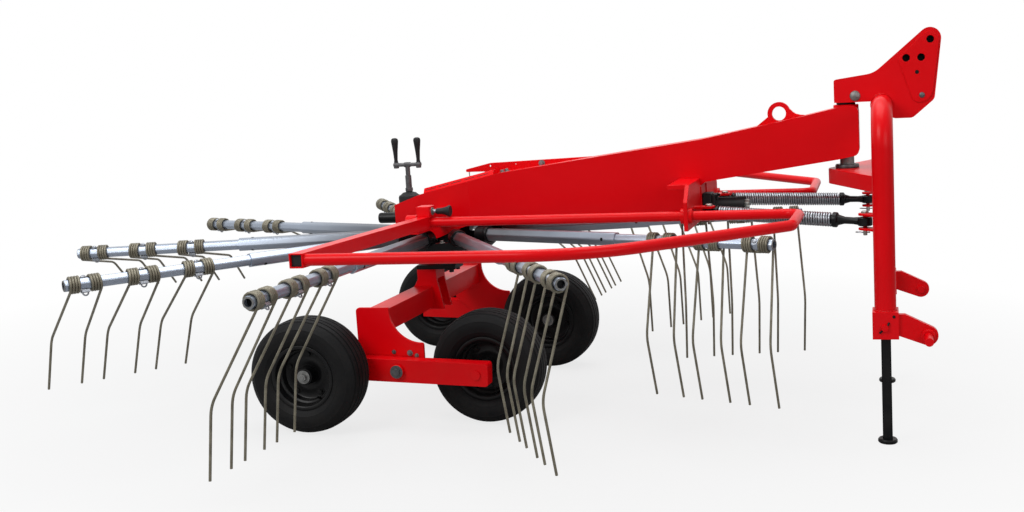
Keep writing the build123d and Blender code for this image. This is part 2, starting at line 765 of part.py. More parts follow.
def guard(side):
    """Hairpin guard tube with its square rear arm, hinged along its inner leg."""
    start = (REAR_COLLAR_X - COLLAR_LENGTH / 2, 0)
    nose = (GUARD_NOSE_X, 0)
    turn = (GUARD_NOSE_X, GUARD_NOSE_WIDTH)
    corner = (GUARD_CORNER_X, GUARD_CORNER_Y - GUARD_Y)
    end = (GUARD_REAR_X + GUARD_ARM - GUARD_ARM_WALL / 2, GUARD_END_Y - GUARD_Y)
    halfway = tuple((a + b) / 2 for a, b in zip(turn, corner))
    tube = bent_tube([start, nose, turn, halfway], GUARD_NOSE_RADIUS)
    tube += bent_tube([halfway, corner, end], GUARD_CORNER_RADIUS)
    half = GUARD_ARM / 2
    square = block((GUARD_REAR_X, GUARD_REAR_X + GUARD_ARM), (0, end[1] + half), (-half, half))
    wall = GUARD_ARM_WALL
    square -= block(
        (GUARD_REAR_X + wall, GUARD_REAR_X + GUARD_ARM - wall),
        (half, end[1] + half),
        (-half + wall, half - wall),
    )
    loop = Rot(GUARD_RISE, 0, 0) * (tube + square)
    if side < 0:
        loop = mirror(loop, Plane.XZ)
    return Pos(0, side * GUARD_Y, GUARD_Z) * loop


def headstock_tube():
    """Inverted U of round tube, bored for the stands, with the strut ears."""
    path = FilletPolyline(
        (LEG_X, -LEG_Y, LEG_LOW),
        (LEG_X, -LEG_Y, BOW_Z),
        (LEG_X, LEG_Y, BOW_Z),
        (LEG_X, LEG_Y, LEG_LOW),
        radius=BOW_BEND,
    )
    tube = sweep(Plane(origin=path @ 0, z_dir=path % 0) * Circle(LEG_RADIUS), path)
    for side in SIDES.values():
        tube += strut_ears(side)
        tube -= upright(LEG_X, side * LEG_Y, LEG_LOW, LEG_BORE_TOP, LEG_BORE)
    return tube


def strut_ears(side):
    y = side * STRUT_EYE_Y
    half = EAR_GAP / 2
    leg_y = side * LEG_Y
    ears = upright(STRUT_EYE_X, y, STRUT_EYE_Z - half, STRUT_EYE_Z + half, STRUT_FRONT_PIN)
    for low in (STRUT_EYE_Z - half - EAR_PLATE, STRUT_EYE_Z + half):
        outline = make_hull(
            [
                *(Pos(STRUT_EYE_X, y) * Circle(EAR_RADIUS)).edges(),
                *(Pos(LEG_X, leg_y) * Circle(EAR_RADIUS)).edges(),
            ]
        )
        ears += Pos(0, 0, low) * extrude(outline, EAR_PLATE)
    return ears


def mast_plate(y_low, y_high):
    """One top link plate, from the kingpin arm to the rounded tip round the top hole."""
    corners = {
        (MAST_REAR_X, MAST_REAR_TOP): MAST_CORNER,
        MAST_ELBOW: MAST_ELBOW_RADIUS,
        MAST_TIP: MAST_TIP_RADIUS,
        MAST_KNEE: MAST_ROUND,
        MAST_HEEL: MAST_ROUND,
        MAST_TOE: MAST_ROUND,
        (MAST_BLOCK_FRONT, MAST_BLOCK_LOW): MAST_CORNER,
        (MAST_REAR_X, MAST_BLOCK_LOW): MAST_CORNER,
    }
    return rounded_plate(corners, y_low, y_high)


def mast():
    inner = MAST_GAP / 2
    outer = inner + MAST_PLATE
    across = (-inner, inner)
    solid = block((MAST_REAR_X, MAST_BLOCK_FRONT), across, (MAST_BLOCK_LOW, MAST_BLOCK_HIGH))
    for side in SIDES.values():
        solid += mast_plate(*sorted((side * inner, side * outer)))
    for x, z in ((TOP_PIN_X, TOP_PIN_Z), (LOW_HOLE_X, LOW_HOLE_Z), (MID_HOLE_X, LOW_HOLE_Z)):
        solid -= crosswise(x, z, -outer, outer, TOP_PIN_RADIUS)
    solid -= crosswise(LEG_X, BOW_Z, -outer, outer, LEG_RADIUS + SEAT_GAP)
    return solid - upright(KINGPIN_X, 0, KINGPIN_LOW, KINGPIN_HIGH, KINGPIN_RADIUS + PIN_CLEARANCE)


def yoke():
    """Lower kingpin arm: a box that widens from the boss to the two legs."""
    half = YOKE_END_WIDTH / 2
    end = LEG_Y
    outline = make_hull(
        [
            *(Pos(KINGPIN_X, 0) * Circle(YOKE_BOSS)).edges(),
            *(Pos(LEG_X, 0) * Rectangle(YOKE_END_WIDTH / 2, 2 * end)).edges(),
        ]
    )
    solid = Pos(0, 0, YOKE_LOW) * extrude(outline, YOKE_HIGH - YOKE_LOW)
    for side in SIDES.values():
        leg = upright(LEG_X, side * LEG_Y, YOKE_LOW, YOKE_HIGH, LEG_RADIUS + SEAT_GAP)
        solid -= leg
        solid -= block(
            (LEG_X - half, LEG_X + half),
            sorted((side * LEG_Y, side * 2 * LEG_Y)),
            (YOKE_LOW, YOKE_HIGH),
        )
    return solid - upright(
        KINGPIN_X, 0, KINGPIN_LOW, KINGPIN_HIGH, KINGPIN_RADIUS + PIN_CLEARANCE
    )


def kingpin():
    pin = upright(KINGPIN_X, 0, KINGPIN_LOW, KINGPIN_HIGH, KINGPIN_RADIUS)
    head = upright(KINGPIN_X, 0, KINGPIN_HIGH, KINGPIN_HIGH + KINGPIN_HEAD, KINGPIN_HEAD_RADIUS)
    return pin + head


def lower_hitch(side):
    """Bracket at a leg's foot, with the arm and pin for the tractor's lower link."""
    y = side * LEG_Y
    half = HITCH_BOX_WIDTH / 2
    rear = LEG_X - HITCH_BOX_LENGTH / 2
    front = LEG_X + HITCH_BOX_LENGTH / 2
    bracket = block((rear, front), (y - half, y + half), (HITCH_BOX_LOW, HITCH_BOX_HIGH))
    bracket -= upright(LEG_X, y, LEG_LOW, HITCH_BOX_HIGH, LEG_RADIUS + SEAT_GAP)
    hole = STAND_WIDTH / 2 + STAND_GUIDE_GAP
    bracket -= block(
        (LEG_X - hole, LEG_X + hole), (y - hole, y + hole), (HITCH_BOX_LOW, HITCH_BOX_HIGH)
    )
    arm_y = sorted((side * HITCH_ARM_Y, side * (HITCH_ARM_Y + HITCH_ARM)))
    root = Pos(front + HITCH_ARM_ROOT / 2, HITCH_BOX_LOW + HITCH_ARM_RISE)
    arm_edges = [
        *(Pos(LOW_PIN_X, LOW_PIN_Z) * Circle(HITCH_ARM_RADIUS)).edges(),
        *(root * Rectangle(HITCH_ARM_ROOT, HITCH_ARM_DEPTH)).edges(),
    ]
    arm_face = make_hull(arm_edges)
    arm = extrude(Plane.XZ * arm_face, -HITCH_ARM)
    arm = Pos(0, arm_y[0], 0) * arm
    pin_start = side * (HITCH_ARM_Y - HITCH_PIN_TAIL)
    pin_end = side * (HITCH_ARM_Y + HITCH_ARM + HITCH_PIN_LENGTH)
    pin = crosswise(LOW_PIN_X, LOW_PIN_Z, pin_start, pin_end, HITCH_PIN_RADIUS)
    return bracket + arm + pin


def stand(side):
    """Square parking stand that slides in the leg, on a level foot."""
    turn = math.radians(PITCH)
    ground = ROTOR_Z - (ROTOR_Z + LEG_X * math.sin(turn)) / math.cos(turn)
    foot_x = pitched_point(LEG_X, ground)[0]
    half = STAND_WIDTH / 2
    y = side * LEG_Y
    tube = block((LEG_X - half, LEG_X + half), (y - half, y + half), (ground, STAND_TOP))
    inner = half - STAND_WALL
    tube -= block(
        (LEG_X - inner, LEG_X + inner),
        (y - inner, y + inner),
        (ground + 2 * FOOT_HEIGHT, STAND_TOP),
    )
    under_foot = block(
        (foot_x - STAND_TOP, foot_x + STAND_TOP),
        (y - STAND_TOP, y + STAND_TOP),
        (-STAND_TOP, FOOT_HEIGHT / 2),
    )
    return pitched(tube) - under_foot + upright(foot_x, y, 0, FOOT_HEIGHT, FOOT_RADIUS)


def strut_ends(side):
    rear = Vector(STRUT_REAR_X, side * STRUT_REAR_Y, STRUT_REAR_Z)
    eye = Vector(STRUT_EYE_X, side * STRUT_EYE_Y, STRUT_EYE_Z)
    return rear, eye, (eye - rear).normalized()


def strut_tube(side):
    rear, eye, along = strut_ends(side)
    half = STRUT_EYE_HEIGHT / 2
    body = rod(rear, rear + along * STRUT_TUBE_END, STRUT_TUBE_RADIUS)
    body += rod(rear + along * STRUT_SEAT, rear + along * (STRUT_SEAT + STRUT_SEAT_LENGTH), SPRING_RADIUS)
    body -= rod(rear + along * STRUT_SEAT, rear + along * STRUT_TUBE_END, STRUT_BORE)
    body += upright(rear.X, rear.Y, rear.Z - half, rear.Z + half, STRUT_REAR_EYE)
    return body - upright(rear.X, rear.Y, rear.Z - half, rear.Z + half, STRUT_PIN + PIN_CLEARANCE)


def strut_rod(side):
    rear, eye, along = strut_ends(side)
    half = STRUT_EYE_HEIGHT / 2
    collar_start = eye - along * STRUT_COLLAR_BACK
    body = rod(rear + along * STRUT_ROD_START, eye, STRUT_ROD)
    body += rod(collar_start, collar_start + along * STRUT_COLLAR_LENGTH, STRUT_COLLAR_RADIUS)
    body += upright(eye.X, eye.Y, eye.Z - half, eye.Z + half, STRUT_FRONT_EYE)
    return body - upright(eye.X, eye.Y, eye.Z - half, eye.Z + half, STRUT_FRONT_BORE)


def strut_spring(side):
    """Closed sleeve of the compression spring's outer and inner sizes."""
    rear, eye, along = strut_ends(side)
    start = rear + along * (STRUT_SEAT + STRUT_SEAT_LENGTH)
    end = eye - along * STRUT_COLLAR_BACK
    return rod(start, end, SPRING_RADIUS) - rod(start, end, SPRING_RADIUS - SPRING_WIRE)


def height_adjuster():
    """Crank with two grips on its boot, and the adjuster tube behind the beam."""
    beam = bare_beam()
    boot = upright(CRANK_X, 0, BOOT_LOW, BOOT_TOP, BOOT_RADIUS) - beam
    spindle = upright(CRANK_X, 0, BOOT_TOP, CRANK_BAR_Z, CRANK_RADIUS)
    bar = rod(
        (CRANK_X - CRANK_REACH - CRANK_RADIUS, 0, CRANK_BAR_Z),
        (CRANK_X + CRANK_REACH + CRANK_RADIUS, 0, CRANK_BAR_Z),
        CRANK_RADIUS,
    )
    crank = boot + spindle + bar
    for end in (-1, 1):
        middle = CRANK_BAR_Z + GRIP_HEIGHT / 2
        grip = Cone(GRIP_LOW_RADIUS, GRIP_HIGH_RADIUS, GRIP_HEIGHT)
        crank += Pos(CRANK_X + end * CRANK_REACH, 0, middle) * grip
    tube = rod(
        (BEAM_REAR_X - ADJUSTER_TUBE_LENGTH, 0, ADJUSTER_TUBE_Z),
        (BEAM_REAR_X, 0, ADJUSTER_TUBE_Z),
        ADJUSTER_TUBE_RADIUS,
    )
    return Compound(children=[*crank.solids(), *tube.solids()])


def storage_rail():
    """Upright plate on the beam's left edge where the spare arms are stowed."""
    outline = [
        (RAIL_REAR, RAIL_LOW),
        (RAIL_FRONT, RAIL_LOW),
        (RAIL_FRONT, RAIL_HIGH),
        (RAIL_REAR + RAIL_CHAMFER, RAIL_HIGH - RAIL_SLOPE),
        (RAIL_REAR, RAIL_HIGH - RAIL_NOTCH),
    ]
    return plate(outline, RAIL_Y, RAIL_Y + RAIL_PLATE) - bare_beam()


def all_nodes():
    """Every node of the machine, pitched as it parks."""
    nodes = {
        "main_beam": pitched(main_beam()),
        "gear_case": pitched(gear_case()),
        "crossbar": pitched(crossbar()),
        "drive_input": pitched(drive_input()),
        "undercarriage": pitched(undercarriage()),
        "height_adjuster": pitched(height_adjuster()),
        "storage_rail": pitched(storage_rail()),
        "kingpin": pitched(kingpin()),
        "headstock_tube": pitched(headstock_tube()),
        "mast": pitched(mast()),
        "yoke": pitched(yoke()),
        "rotor_hub": pitched(rotor_hub()),
    }
    lugs = [guard_lug(side) for side in SIDES.values()]
    nodes["guard_lugs"] = pitched(Compound(children=lugs))
    hitches = [lower_hitch(side) for side in SIDES.values()]
    nodes["lower_hitch"] = pitched(Compound(children=hitches))
    inner = inner_arm()
    outer = outer_arm()
    tine = double_tine()
    numbers = range(ARM_COUNT)
    nodes["inner_arms"] = pitched(Compound(children=[on_arm(inner, n) for n in numbers]))
    nodes["outer_arms"] = pitched(Compound(children=[on_arm(outer, n) for n in numbers]))
    for number in numbers:
        nodes[f"tines_{number + 1}"] = pitched(arm_tines(tine, number))
    rim = wheel_rim()
    rubber = tyre()
    for name, side in SIDES.items():
        nodes[f"guard_{name}"] = pitched(guard(side))
        nodes[f"stand_{name}"] = stand(side)
        nodes[f"strut_tube_{name}"] = pitched(strut_tube(side))
        nodes[f"strut_rod_{name}"] = pitched(strut_rod(side))
        nodes[f"strut_spring_{name}"] = pitched(strut_spring(side))
        nodes[f"rocker_{name}"] = rocker(side)
        rear_axle = Pos(REAR_WHEEL_X, side * REAR_WHEEL_Y, AXLE_Z)
        front_axle = Pos(FRONT_WHEEL_X, side * FRONT_WHEEL_Y, AXLE_Z)
        for end, axle in (("rear", rear_axle), ("front", front_axle)):
            nodes[f"rim_{end}_{name}"] = axle * rim
            nodes[f"tyre_{end}_{name}"] = axle * rubber
    return nodes


os.makedirs("parts", exist_ok=True)
for node_name, shape in all_nodes().items():
    export_step(Pos(-ORIGIN_X, 0, 0) * shape, f"parts/{node_name}.step")
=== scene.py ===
import math

import bmesh
import bpy
from mathutils import Matrix, Vector


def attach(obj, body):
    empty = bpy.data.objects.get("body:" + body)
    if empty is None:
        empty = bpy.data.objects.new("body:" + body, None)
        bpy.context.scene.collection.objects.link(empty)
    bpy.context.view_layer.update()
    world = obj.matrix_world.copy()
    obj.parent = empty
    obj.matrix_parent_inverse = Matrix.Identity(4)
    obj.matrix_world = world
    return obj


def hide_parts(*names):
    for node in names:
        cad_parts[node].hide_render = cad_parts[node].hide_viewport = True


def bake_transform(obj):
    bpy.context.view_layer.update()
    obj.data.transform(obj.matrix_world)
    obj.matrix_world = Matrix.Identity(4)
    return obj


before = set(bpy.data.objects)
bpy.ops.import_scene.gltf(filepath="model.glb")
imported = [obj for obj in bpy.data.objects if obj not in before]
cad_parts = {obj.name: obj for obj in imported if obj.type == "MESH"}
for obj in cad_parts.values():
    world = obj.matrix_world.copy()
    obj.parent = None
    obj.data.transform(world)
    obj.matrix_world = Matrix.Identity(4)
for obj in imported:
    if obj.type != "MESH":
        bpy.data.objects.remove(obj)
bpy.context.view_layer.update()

# Looks of the single rotor hay rake. Pieces are drawn in metres on the level drawing, with the
# rotor axis at X = 0, and are then parked nose up about the rotor's centre like the solids.
ORIGIN_X = 0.192
ROTOR_Z = 0.610
PITCH = math.radians(2.5)
LEVEL = Matrix.Translation((-ORIGIN_X, 0, 0))
PARKED = (
    Matrix.Translation((-ORIGIN_X, 0, ROTOR_Z))
    @ Matrix.Rotation(-PITCH, 4, "Y")
    @ Matrix.Translation((0, 0, -ROTOR_Z))
)
UPRIGHT = Matrix.Rotation(math.pi / 2, 4, "X")
ALONG_X = Matrix.Rotation(math.pi / 2, 4, "Y")
SIDES = {"left": 1, "right": -1}


# Shader maths


class Shade:
    """One socket of a material's nodes, so that shader maths reads as an expression."""

    def __init__(self, tree, socket=None):
        self.tree = tree
        self.socket = socket

    def node(self, kind, settings=None, inputs=None, output=0):
        """Adds a node: its settings first, then the values or links of its sockets."""
        made = self.tree.nodes.new(kind)
        for key, value in (settings or {}).items():
            setattr(made, key, value)
        for key, value in (inputs or {}).items():
            if isinstance(value, Shade):
                self.tree.links.new(value.socket, made.inputs[key])
            else:
                made.inputs[key].default_value = value
        return Shade(self.tree, made.outputs[output] if len(made.outputs) else None)

    def maths(self, operation, first, second):
        return self.node("ShaderNodeMath", {"operation": operation}, {0: first, 1: second})

    def __add__(self, other):
        return self.maths("ADD", self, other)

    def __radd__(self, other):
        return self.maths("ADD", other, self)

    def __sub__(self, other):
        return self.maths("SUBTRACT", self, other)

    def __rsub__(self, other):
        return self.maths("SUBTRACT", other, self)

    def __mul__(self, other):
        return self.maths("MULTIPLY", self, other)

    def __rmul__(self, other):
        return self.maths("MULTIPLY", other, self)


def mixed(share, low, high):
    """A colour between two, by a share from 0 to 1."""
    return share.node("ShaderNodeMix", {"data_type": "RGBA"}, {0: share, 6: low, 7: high}, 2)


def spread(value, low, high):
    """Stretches a value so that low becomes 0 and high becomes 1, held between them."""
    return value.node(
        "ShaderNodeMapRange", {"clamp": True}, {"Value": value, "From Min": low, "From Max": high}
    )


def mottled(patch, low, high):
    """Two tones of a finish, patched by the middle range of a noise."""
    return mixed(spread(patch, 0.3, 0.7), low, high)


def where(shade):
    return shade.node("ShaderNodeTexCoord", output="Object")


def noise(shade, scale, detail=3.0, roughness=0.5):
    """Noise on the object's own coordinates."""
    inputs = {"Vector": where(shade), "Scale": scale, "Detail": detail, "Roughness": roughness}
    return shade.node("ShaderNodeTexNoise", inputs=inputs)


def bumped(shade, height, strength, distance):
    return shade.node(
        "ShaderNodeBump", inputs={"Height": height, "Strength": strength, "Distance": distance}
    )


def low_dust(shade, top):
    """How much field dust lies on a surface, from none at a height to full at the ground."""
    height = shade.node("ShaderNodeSeparateXYZ", inputs={0: where(shade)}, output=2)
    return (1 - spread(height, 0.0, top)) * spread(noise(shade, 14.0, 6.0, 0.7), 0.42, 0.75)


def finish(name, recipe):
    """A material whose nodes a recipe draws."""
    made = bpy.data.materials.new(name)
    made.use_nodes = True
    made.node_tree.nodes.clear()
    shade = Shade(made.node_tree)
    shade.node("ShaderNodeOutputMaterial", inputs={"Surface": recipe(shade)})
    return made


def surface(shade, **inputs):
    named = {key.replace("_", " "): value for key, value in inputs.items()}
    return shade.node("ShaderNodeBsdfPrincipled", inputs=named)


def red_paint(shade):
    cloud = noise(shade, 3.2, 4.0)
    speck = noise(shade, 95.0, 3.0, 0.6)
    dusty = low_dust(shade, 0.30)
    # Sharp edges are mixed toward a lighter red: a painted edge highlight.
    edge = spread(shade.node("ShaderNodeNewGeometry", output="Pointiness"), 0.53, 0.62)
    colour = mottled(cloud, (0.640, 0.0004, 0.0024, 1), (0.715, 0.0008, 0.0045, 1))
    colour = mixed(edge * 0.35, colour, (0.84, 0.010, 0.018, 1))
    colour = mixed(dusty * 0.10, colour, (0.30, 0.14, 0.08, 1))
    return surface(
        shade,
        Base_Color=colour,
        Specular_IOR_Level=0.13,
        Roughness=0.25 + speck * 0.10 + dusty * 0.25,
        Normal=bumped(shade, noise(shade, 240.0, 2.0), 0.08, 0.0012),
    )


def weld_paint(shade):
    ripple = noise(shade, 190.0, 2.0)
    return surface(
        shade,
        Base_Color=mixed(ripple, (0.50, 0.0004, 0.002, 1), (0.69, 0.001, 0.004, 1)),
        Specular_IOR_Level=0.13,
        Roughness=0.34,
        Normal=bumped(shade, ripple, 0.5, 0.003),
    )


def galvanised(shade):
    """Zinc dipped tube, darkened near the hub as painted shade and bright further out."""
    offset = shade.node("ShaderNodeVectorMath", inputs={0: where(shade), 1: (ORIGIN_X, 0, -ROTOR_Z)})
    reach = shade.node("ShaderNodeVectorMath", {"operation": "LENGTH"}, {0: offset}, "Value")
    cloud = noise(shade, 6.0, 4.0, 0.5)
    zinc = mottled(cloud, (0.31, 0.355, 0.43, 1), (0.37, 0.415, 0.49, 1))
    # The darker zinc towards the hub is painted shade.
    painted_shade_zinc = mottled(cloud, (0.11, 0.116, 0.128, 1), (0.16, 0.168, 0.185, 1))
    return surface(
        shade,
        Base_Color=mixed(spread(reach, 0.30, 0.80), painted_shade_zinc, zinc),
        Metallic=0.70,
        Roughness=0.26 + cloud * 0.10,
        Specular_IOR_Level=0.35,
    )


def tine_wire(shade):
    patch = noise(shade, 26.0, 4.0, 0.6)
    grain = noise(shade, 210.0, 3.0, 0.65)
    colour = mixed(spread(patch, 0.34, 0.66), (0.125, 0.112, 0.080, 1), (0.225, 0.205, 0.152, 1))
    colour = mixed(spread(grain, 0.55, 0.80) * 0.4, colour, (0.050, 0.043, 0.030, 1))
    return surface(
        shade,
        Base_Color=colour,
        Metallic=0.40,
        Roughness=0.36 + grain * 0.22,
        Normal=bumped(shade, grain, 0.2, 0.0008),
    )


def spring_zinc(shade):
    patch = noise(shade, 34.0, 4.0)
    colour = mottled(patch, (0.20, 0.21, 0.23, 1), (0.32, 0.335, 0.36, 1))
    return surface(shade, Base_Color=colour, Metallic=0.85, Roughness=0.24 + patch * 0.18)


def clamp_zinc(shade):
    patch = noise(shade, 55.0, 4.0)
    colour = mottled(patch, (0.26, 0.28, 0.31, 1), (0.36, 0.38, 0.42, 1))
    return surface(shade, Base_Color=colour, Metallic=0.65, Roughness=0.28 + patch * 0.15)


def pin_steel(shade):
    patch = noise(shade, 70.0, 4.0, 0.6)
    colour = mottled(patch, (0.22, 0.218, 0.20, 1), (0.40, 0.396, 0.37, 1))
    return surface(
        shade,
        Base_Color=colour,
        Metallic=0.8,
        Roughness=0.30 + patch * 0.25,
        Normal=bumped(shade, noise(shade, 320.0, 2.0), 0.12, 0.0006),
    )


def dull_steel(shade):
    patch = noise(shade, 70.0, 4.0, 0.6)
    colour = mottled(patch, (0.13, 0.13, 0.125, 1), (0.22, 0.22, 0.215, 1))
    return surface(shade, Base_Color=colour, Metallic=0.6, Roughness=0.42 + patch * 0.2)


def crank_iron(shade):
    patch = noise(shade, 60.0, 4.0, 0.6)
    colour = mottled(patch, (0.052, 0.052, 0.055, 1), (0.115, 0.115, 0.118, 1))
    return surface(shade, Base_Color=colour, Metallic=0.5, Roughness=0.34 + patch * 0.2)


def black_paint(shade):
    cloud = noise(shade, 7.0, 4.0)
    dusty = low_dust(shade, 0.55)
    colour = mottled(cloud, (0.0025, 0.0025, 0.003, 1), (0.006, 0.006, 0.0065, 1))
    colour = mixed(dusty * 0.07, colour, (0.09, 0.078, 0.058, 1))
    return surface(
        shade,
        Base_Color=colour,
        Specular_IOR_Level=0.17,
        Roughness=0.26 + cloud * 0.16 + dusty * 0.2,
        Normal=bumped(shade, noise(shade, 260.0, 2.0), 0.08, 0.0010),
    )


def black_plastic(shade):
    grain = noise(shade, 480.0, 2.0)
    cloud = noise(shade, 12.0, 4.0)
    colour = mottled(cloud, (0.005, 0.005, 0.0055, 1), (0.012, 0.012, 0.013, 1))
    return surface(
        shade,
        Base_Color=colour,
        Specular_IOR_Level=0.25,
        Roughness=0.45 + cloud * 0.15,
        Normal=bumped(shade, grain, 0.2, 0.0008),
    )


def tyre_rubber(shade):
    cloud = noise(shade, 16.0, 5.0, 0.65)
    grain = noise(shade, 300.0, 3.0)
    dusty = low_dust(shade, 0.42)
    colour = mottled(cloud, (0.0028, 0.0028, 0.0032, 1), (0.006, 0.006, 0.0065, 1))
    colour = mixed(dusty * 0.08, colour, (0.10, 0.086, 0.064, 1))
    return surface(
        shade,
        Base_Color=colour,
        Specular_IOR_Level=0.14,
        Roughness=0.50 + cloud * 0.2,
        Normal=bumped(shade, grain, 0.25, 0.0008),
    )


def floor_paper(shade):
    """Pale paper that keeps the machine's shadow and fades to white away from it."""
    seen = shade.node("ShaderNodeLightPath", output="Is Camera Ray")
    away = shade.node("ShaderNodeVectorMath", {"operation": "LENGTH"}, {0: where(shade)}, "Value")
    paper = mixed(noise(shade, 2.0, 2.0), (0.42, 0.42, 0.42, 1), (0.46, 0.46, 0.46, 1))
    matt = shade.node("ShaderNodeBsdfDiffuse", inputs={"Color": paper})
    glow = shade.node("ShaderNodeEmission", inputs={"Color": (1, 1, 1, 1), "Strength": 1.0})
    share = seen * (0.78 + spread(away, 0.9, 3.2) * 0.22)
    return shade.node("ShaderNodeMixShader", inputs={0: share, 1: matt, 2: glow})


RECIPES = {
    "red_paint": red_paint,
    "weld_paint": weld_paint,
    "galvanised": galvanised,
    "tine_wire": tine_wire,
    "spring_zinc": spring_zinc,
    "clamp_zinc": clamp_zinc,
    "pin_steel": pin_steel,
    "dull_steel": dull_steel,
    "crank_iron": crank_iron,
    "black_paint": black_paint,
    "black_plastic": black_plastic,
    "tyre": tyre_rubber,
    "floor": floor_paper,
}
FINISH = {name: finish(name, recipe) for name, recipe in RECIPES.items()}


# Shapes


def aim(point, direction, roll=0.0):
    """Stands a shape's own Z axis along a direction at a point."""
    turn = Vector(direction).to_track_quat("Z", "Y").to_matrix().to_4x4()
    return Matrix.Translation(point) @ turn @ Matrix.Rotation(roll, 4, "Z")


def stamp(target, part, place=None, keep=False):
    """Copies a shape into a larger one at a place."""
    start = len(target.verts)
    mesh = bpy.data.meshes.new("stamp")
    part.to_mesh(mesh)
    target.from_mesh(mesh)
    bpy.data.meshes.remove(mesh)
    if place:
        target.verts.ensure_lookup_table()
        bmesh.ops.transform(target, matrix=place, verts=target.verts[start:])
    if not keep:
        part.free()
    return target


def sharp_edges(bm, degrees=35.0):
    limit = math.radians(degrees)
    return [e for e in bm.edges if len(e.link_faces) == 2 and e.calc_face_angle(0.0) > limit]


def rounded(bm, geom, offset, segments=2, affect="EDGES"):
    bmesh.ops.bevel(
        bm,
        geom=geom,
        offset=offset,
        segments=segments,
        profile=0.5,
        affect=affect,
        clamp_overlap=True,
        material=-1,
    )
    return bm


def box(corner, opposite, edge=0.002, segments=2):
    """A box between two corners with its edges rounded."""
    low = Vector(tuple(map(min, corner, opposite)))
    high = Vector(tuple(map(max, corner, opposite)))
    bm = bmesh.new()
    size = Matrix.Diagonal((*(high - low), 1))
    bmesh.ops.create_cube(bm, size=1, matrix=Matrix.Translation((low + high) / 2) @ size)
    return rounded(bm, bm.edges[:], edge, segments)


def drum(radius, depth, sides=24, edge=0.0):
    """A round bar standing on the XY plane."""
    bm = bmesh.new()
    bmesh.ops.create_cone(
        bm,
        cap_ends=True,
        segments=sides,
        radius1=radius,
        radius2=radius,
        depth=depth,
        matrix=Matrix.Translation((0, 0, depth / 2)),
    )
    if edge:
        rounded(bm, sharp_edges(bm, 50), edge)
    return bm


def bar(start, end, radius, sides=24, edge=0.0):
    """A round bar from one point to another."""
    start, end = Vector(start), Vector(end)
    bm = drum(radius, (end - start).length, sides, edge)
    bmesh.ops.transform(bm, matrix=aim(start, end - start), verts=bm.verts)
    return bm


def turned(profile, steps=48, closed=False):
    """Turns an (R, Z) line around Z."""
    bm = bmesh.new()
    points = [bm.verts.new((r, 0, z)) for r, z in profile]
    pairs = list(zip(points, points[1:]))
    if closed:
        pairs.append((points[-1], points[0]))
    runs = [bm.edges.new(pair) for pair in pairs]
    bmesh.ops.spin(
        bm,
        geom=points + runs,
        cent=(0, 0, 0),
        axis=(0, 0, 1),
        angle=2 * math.pi,
        steps=steps,
        use_merge=True,
    )
    bmesh.ops.remove_doubles(bm, verts=bm.verts, dist=1e-6)
    bmesh.ops.recalc_face_normals(bm, faces=bm.faces)
    return bm


def curve_shape(curve):
    """The mesh of a curve, as a shape to stamp."""
    holder = bpy.data.objects.new("curve", curve)
    mesh = bpy.data.meshes.new_from_object(holder)
    bm = bmesh.new()
    bm.from_mesh(mesh)
    bpy.data.objects.remove(holder)
    bpy.data.meshes.remove(mesh)
    bpy.data.curves.remove(curve)
    bmesh.ops.remove_doubles(bm, verts=bm.verts, dist=1e-6)
    bmesh.ops.recalc_face_normals(bm, faces=bm.faces)
    return bm


def wire(points, radius, smooth=True, closed=False, sides=2, swell=None):
    """Round wire or tube along points, bent smoothly or straight from point to point."""
    curve = bpy.data.curves.new("wire", "CURVE")
    curve.dimensions = "3D"
    curve.bevel_depth = radius
    curve.bevel_resolution = sides
    curve.use_fill_caps = True
    spline = curve.splines.new("NURBS" if smooth else "POLY")
    spline.points.add(len(points) - 1)
    for index, (point, place) in enumerate(zip(spline.points, points)):
        point.co = (*place, 1)
        point.radius = swell[index % len(swell)] if swell else 1.0
    spline.use_cyclic_u = closed
    if smooth:
        spline.order_u = 3
        spline.use_endpoint_u = not closed
        spline.resolution_u = 4
    return curve_shape(curve)


def ring(radius, count, centre=(0.0, 0.0)):
    """Points round a circle, clockwise as a hole in a plate needs."""
    steps = [-2 * math.pi * n / count for n in range(count)]
    return [(centre[0] + radius * math.cos(a), centre[1] + radius * math.sin(a)) for a in steps]


def cut_plate(outline, holes, thickness, edge=0.0012):
    """A flat plate about the XY plane with (X, Y, R) holes, its edges broken."""
    area = sum(a[0] * b[1] - b[0] * a[1] for a, b in zip(outline, outline[1:] + outline[:1]))
    loops = [outline if area > 0 else outline[::-1]]
    loops += [ring(r, 20, (x, y)) for x, y, r in holes]
    curve = bpy.data.curves.new("plate", "CURVE")
    curve.dimensions = "2D"
    curve.fill_mode = "BOTH"
    curve.extrude = thickness / 2 - edge
    curve.bevel_depth = edge
    curve.bevel_resolution = 1
    curve.offset = -edge
    for loop in loops:
        spline = curve.splines.new("POLY")
        spline.points.add(len(loop) - 1)
        for point, (x, y) in zip(spline.points, loop):
            point.co = (x, y, 0, 1)
        spline.use_cyclic_u = True
    return curve_shape(curve)


def round_corners(outline, radius, steps=5):
    """An outline whose corners are turned to a radius, as flame cut plate has them."""
    bm = bmesh.new()
    bm.faces.new([bm.verts.new((x, y, 0)) for x, y in outline])
    rounded(bm, bm.verts[:], radius, steps, "VERTICES")
    bm.faces.ensure_lookup_table()
    points = [(v.co.x, v.co.y) for v in bm.faces[0].verts]
    bm.free()
    return points


def hex_head(flats, height, washer=0.0025):
    """A bolt head on its washer, standing on the XY plane."""
    bm = drum(flats / math.sqrt(3), height, 6)
    bmesh.ops.translate(bm, vec=(0, 0, washer), verts=bm.verts)
    top = [e for e in bm.edges if all(v.co.z > washer + height * 0.9 for v in e.verts)]
    rounded(bm, top, flats * 0.07)
    stamp(bm, drum(flats * 0.98, washer, 20, washer * 0.3))
    return bm


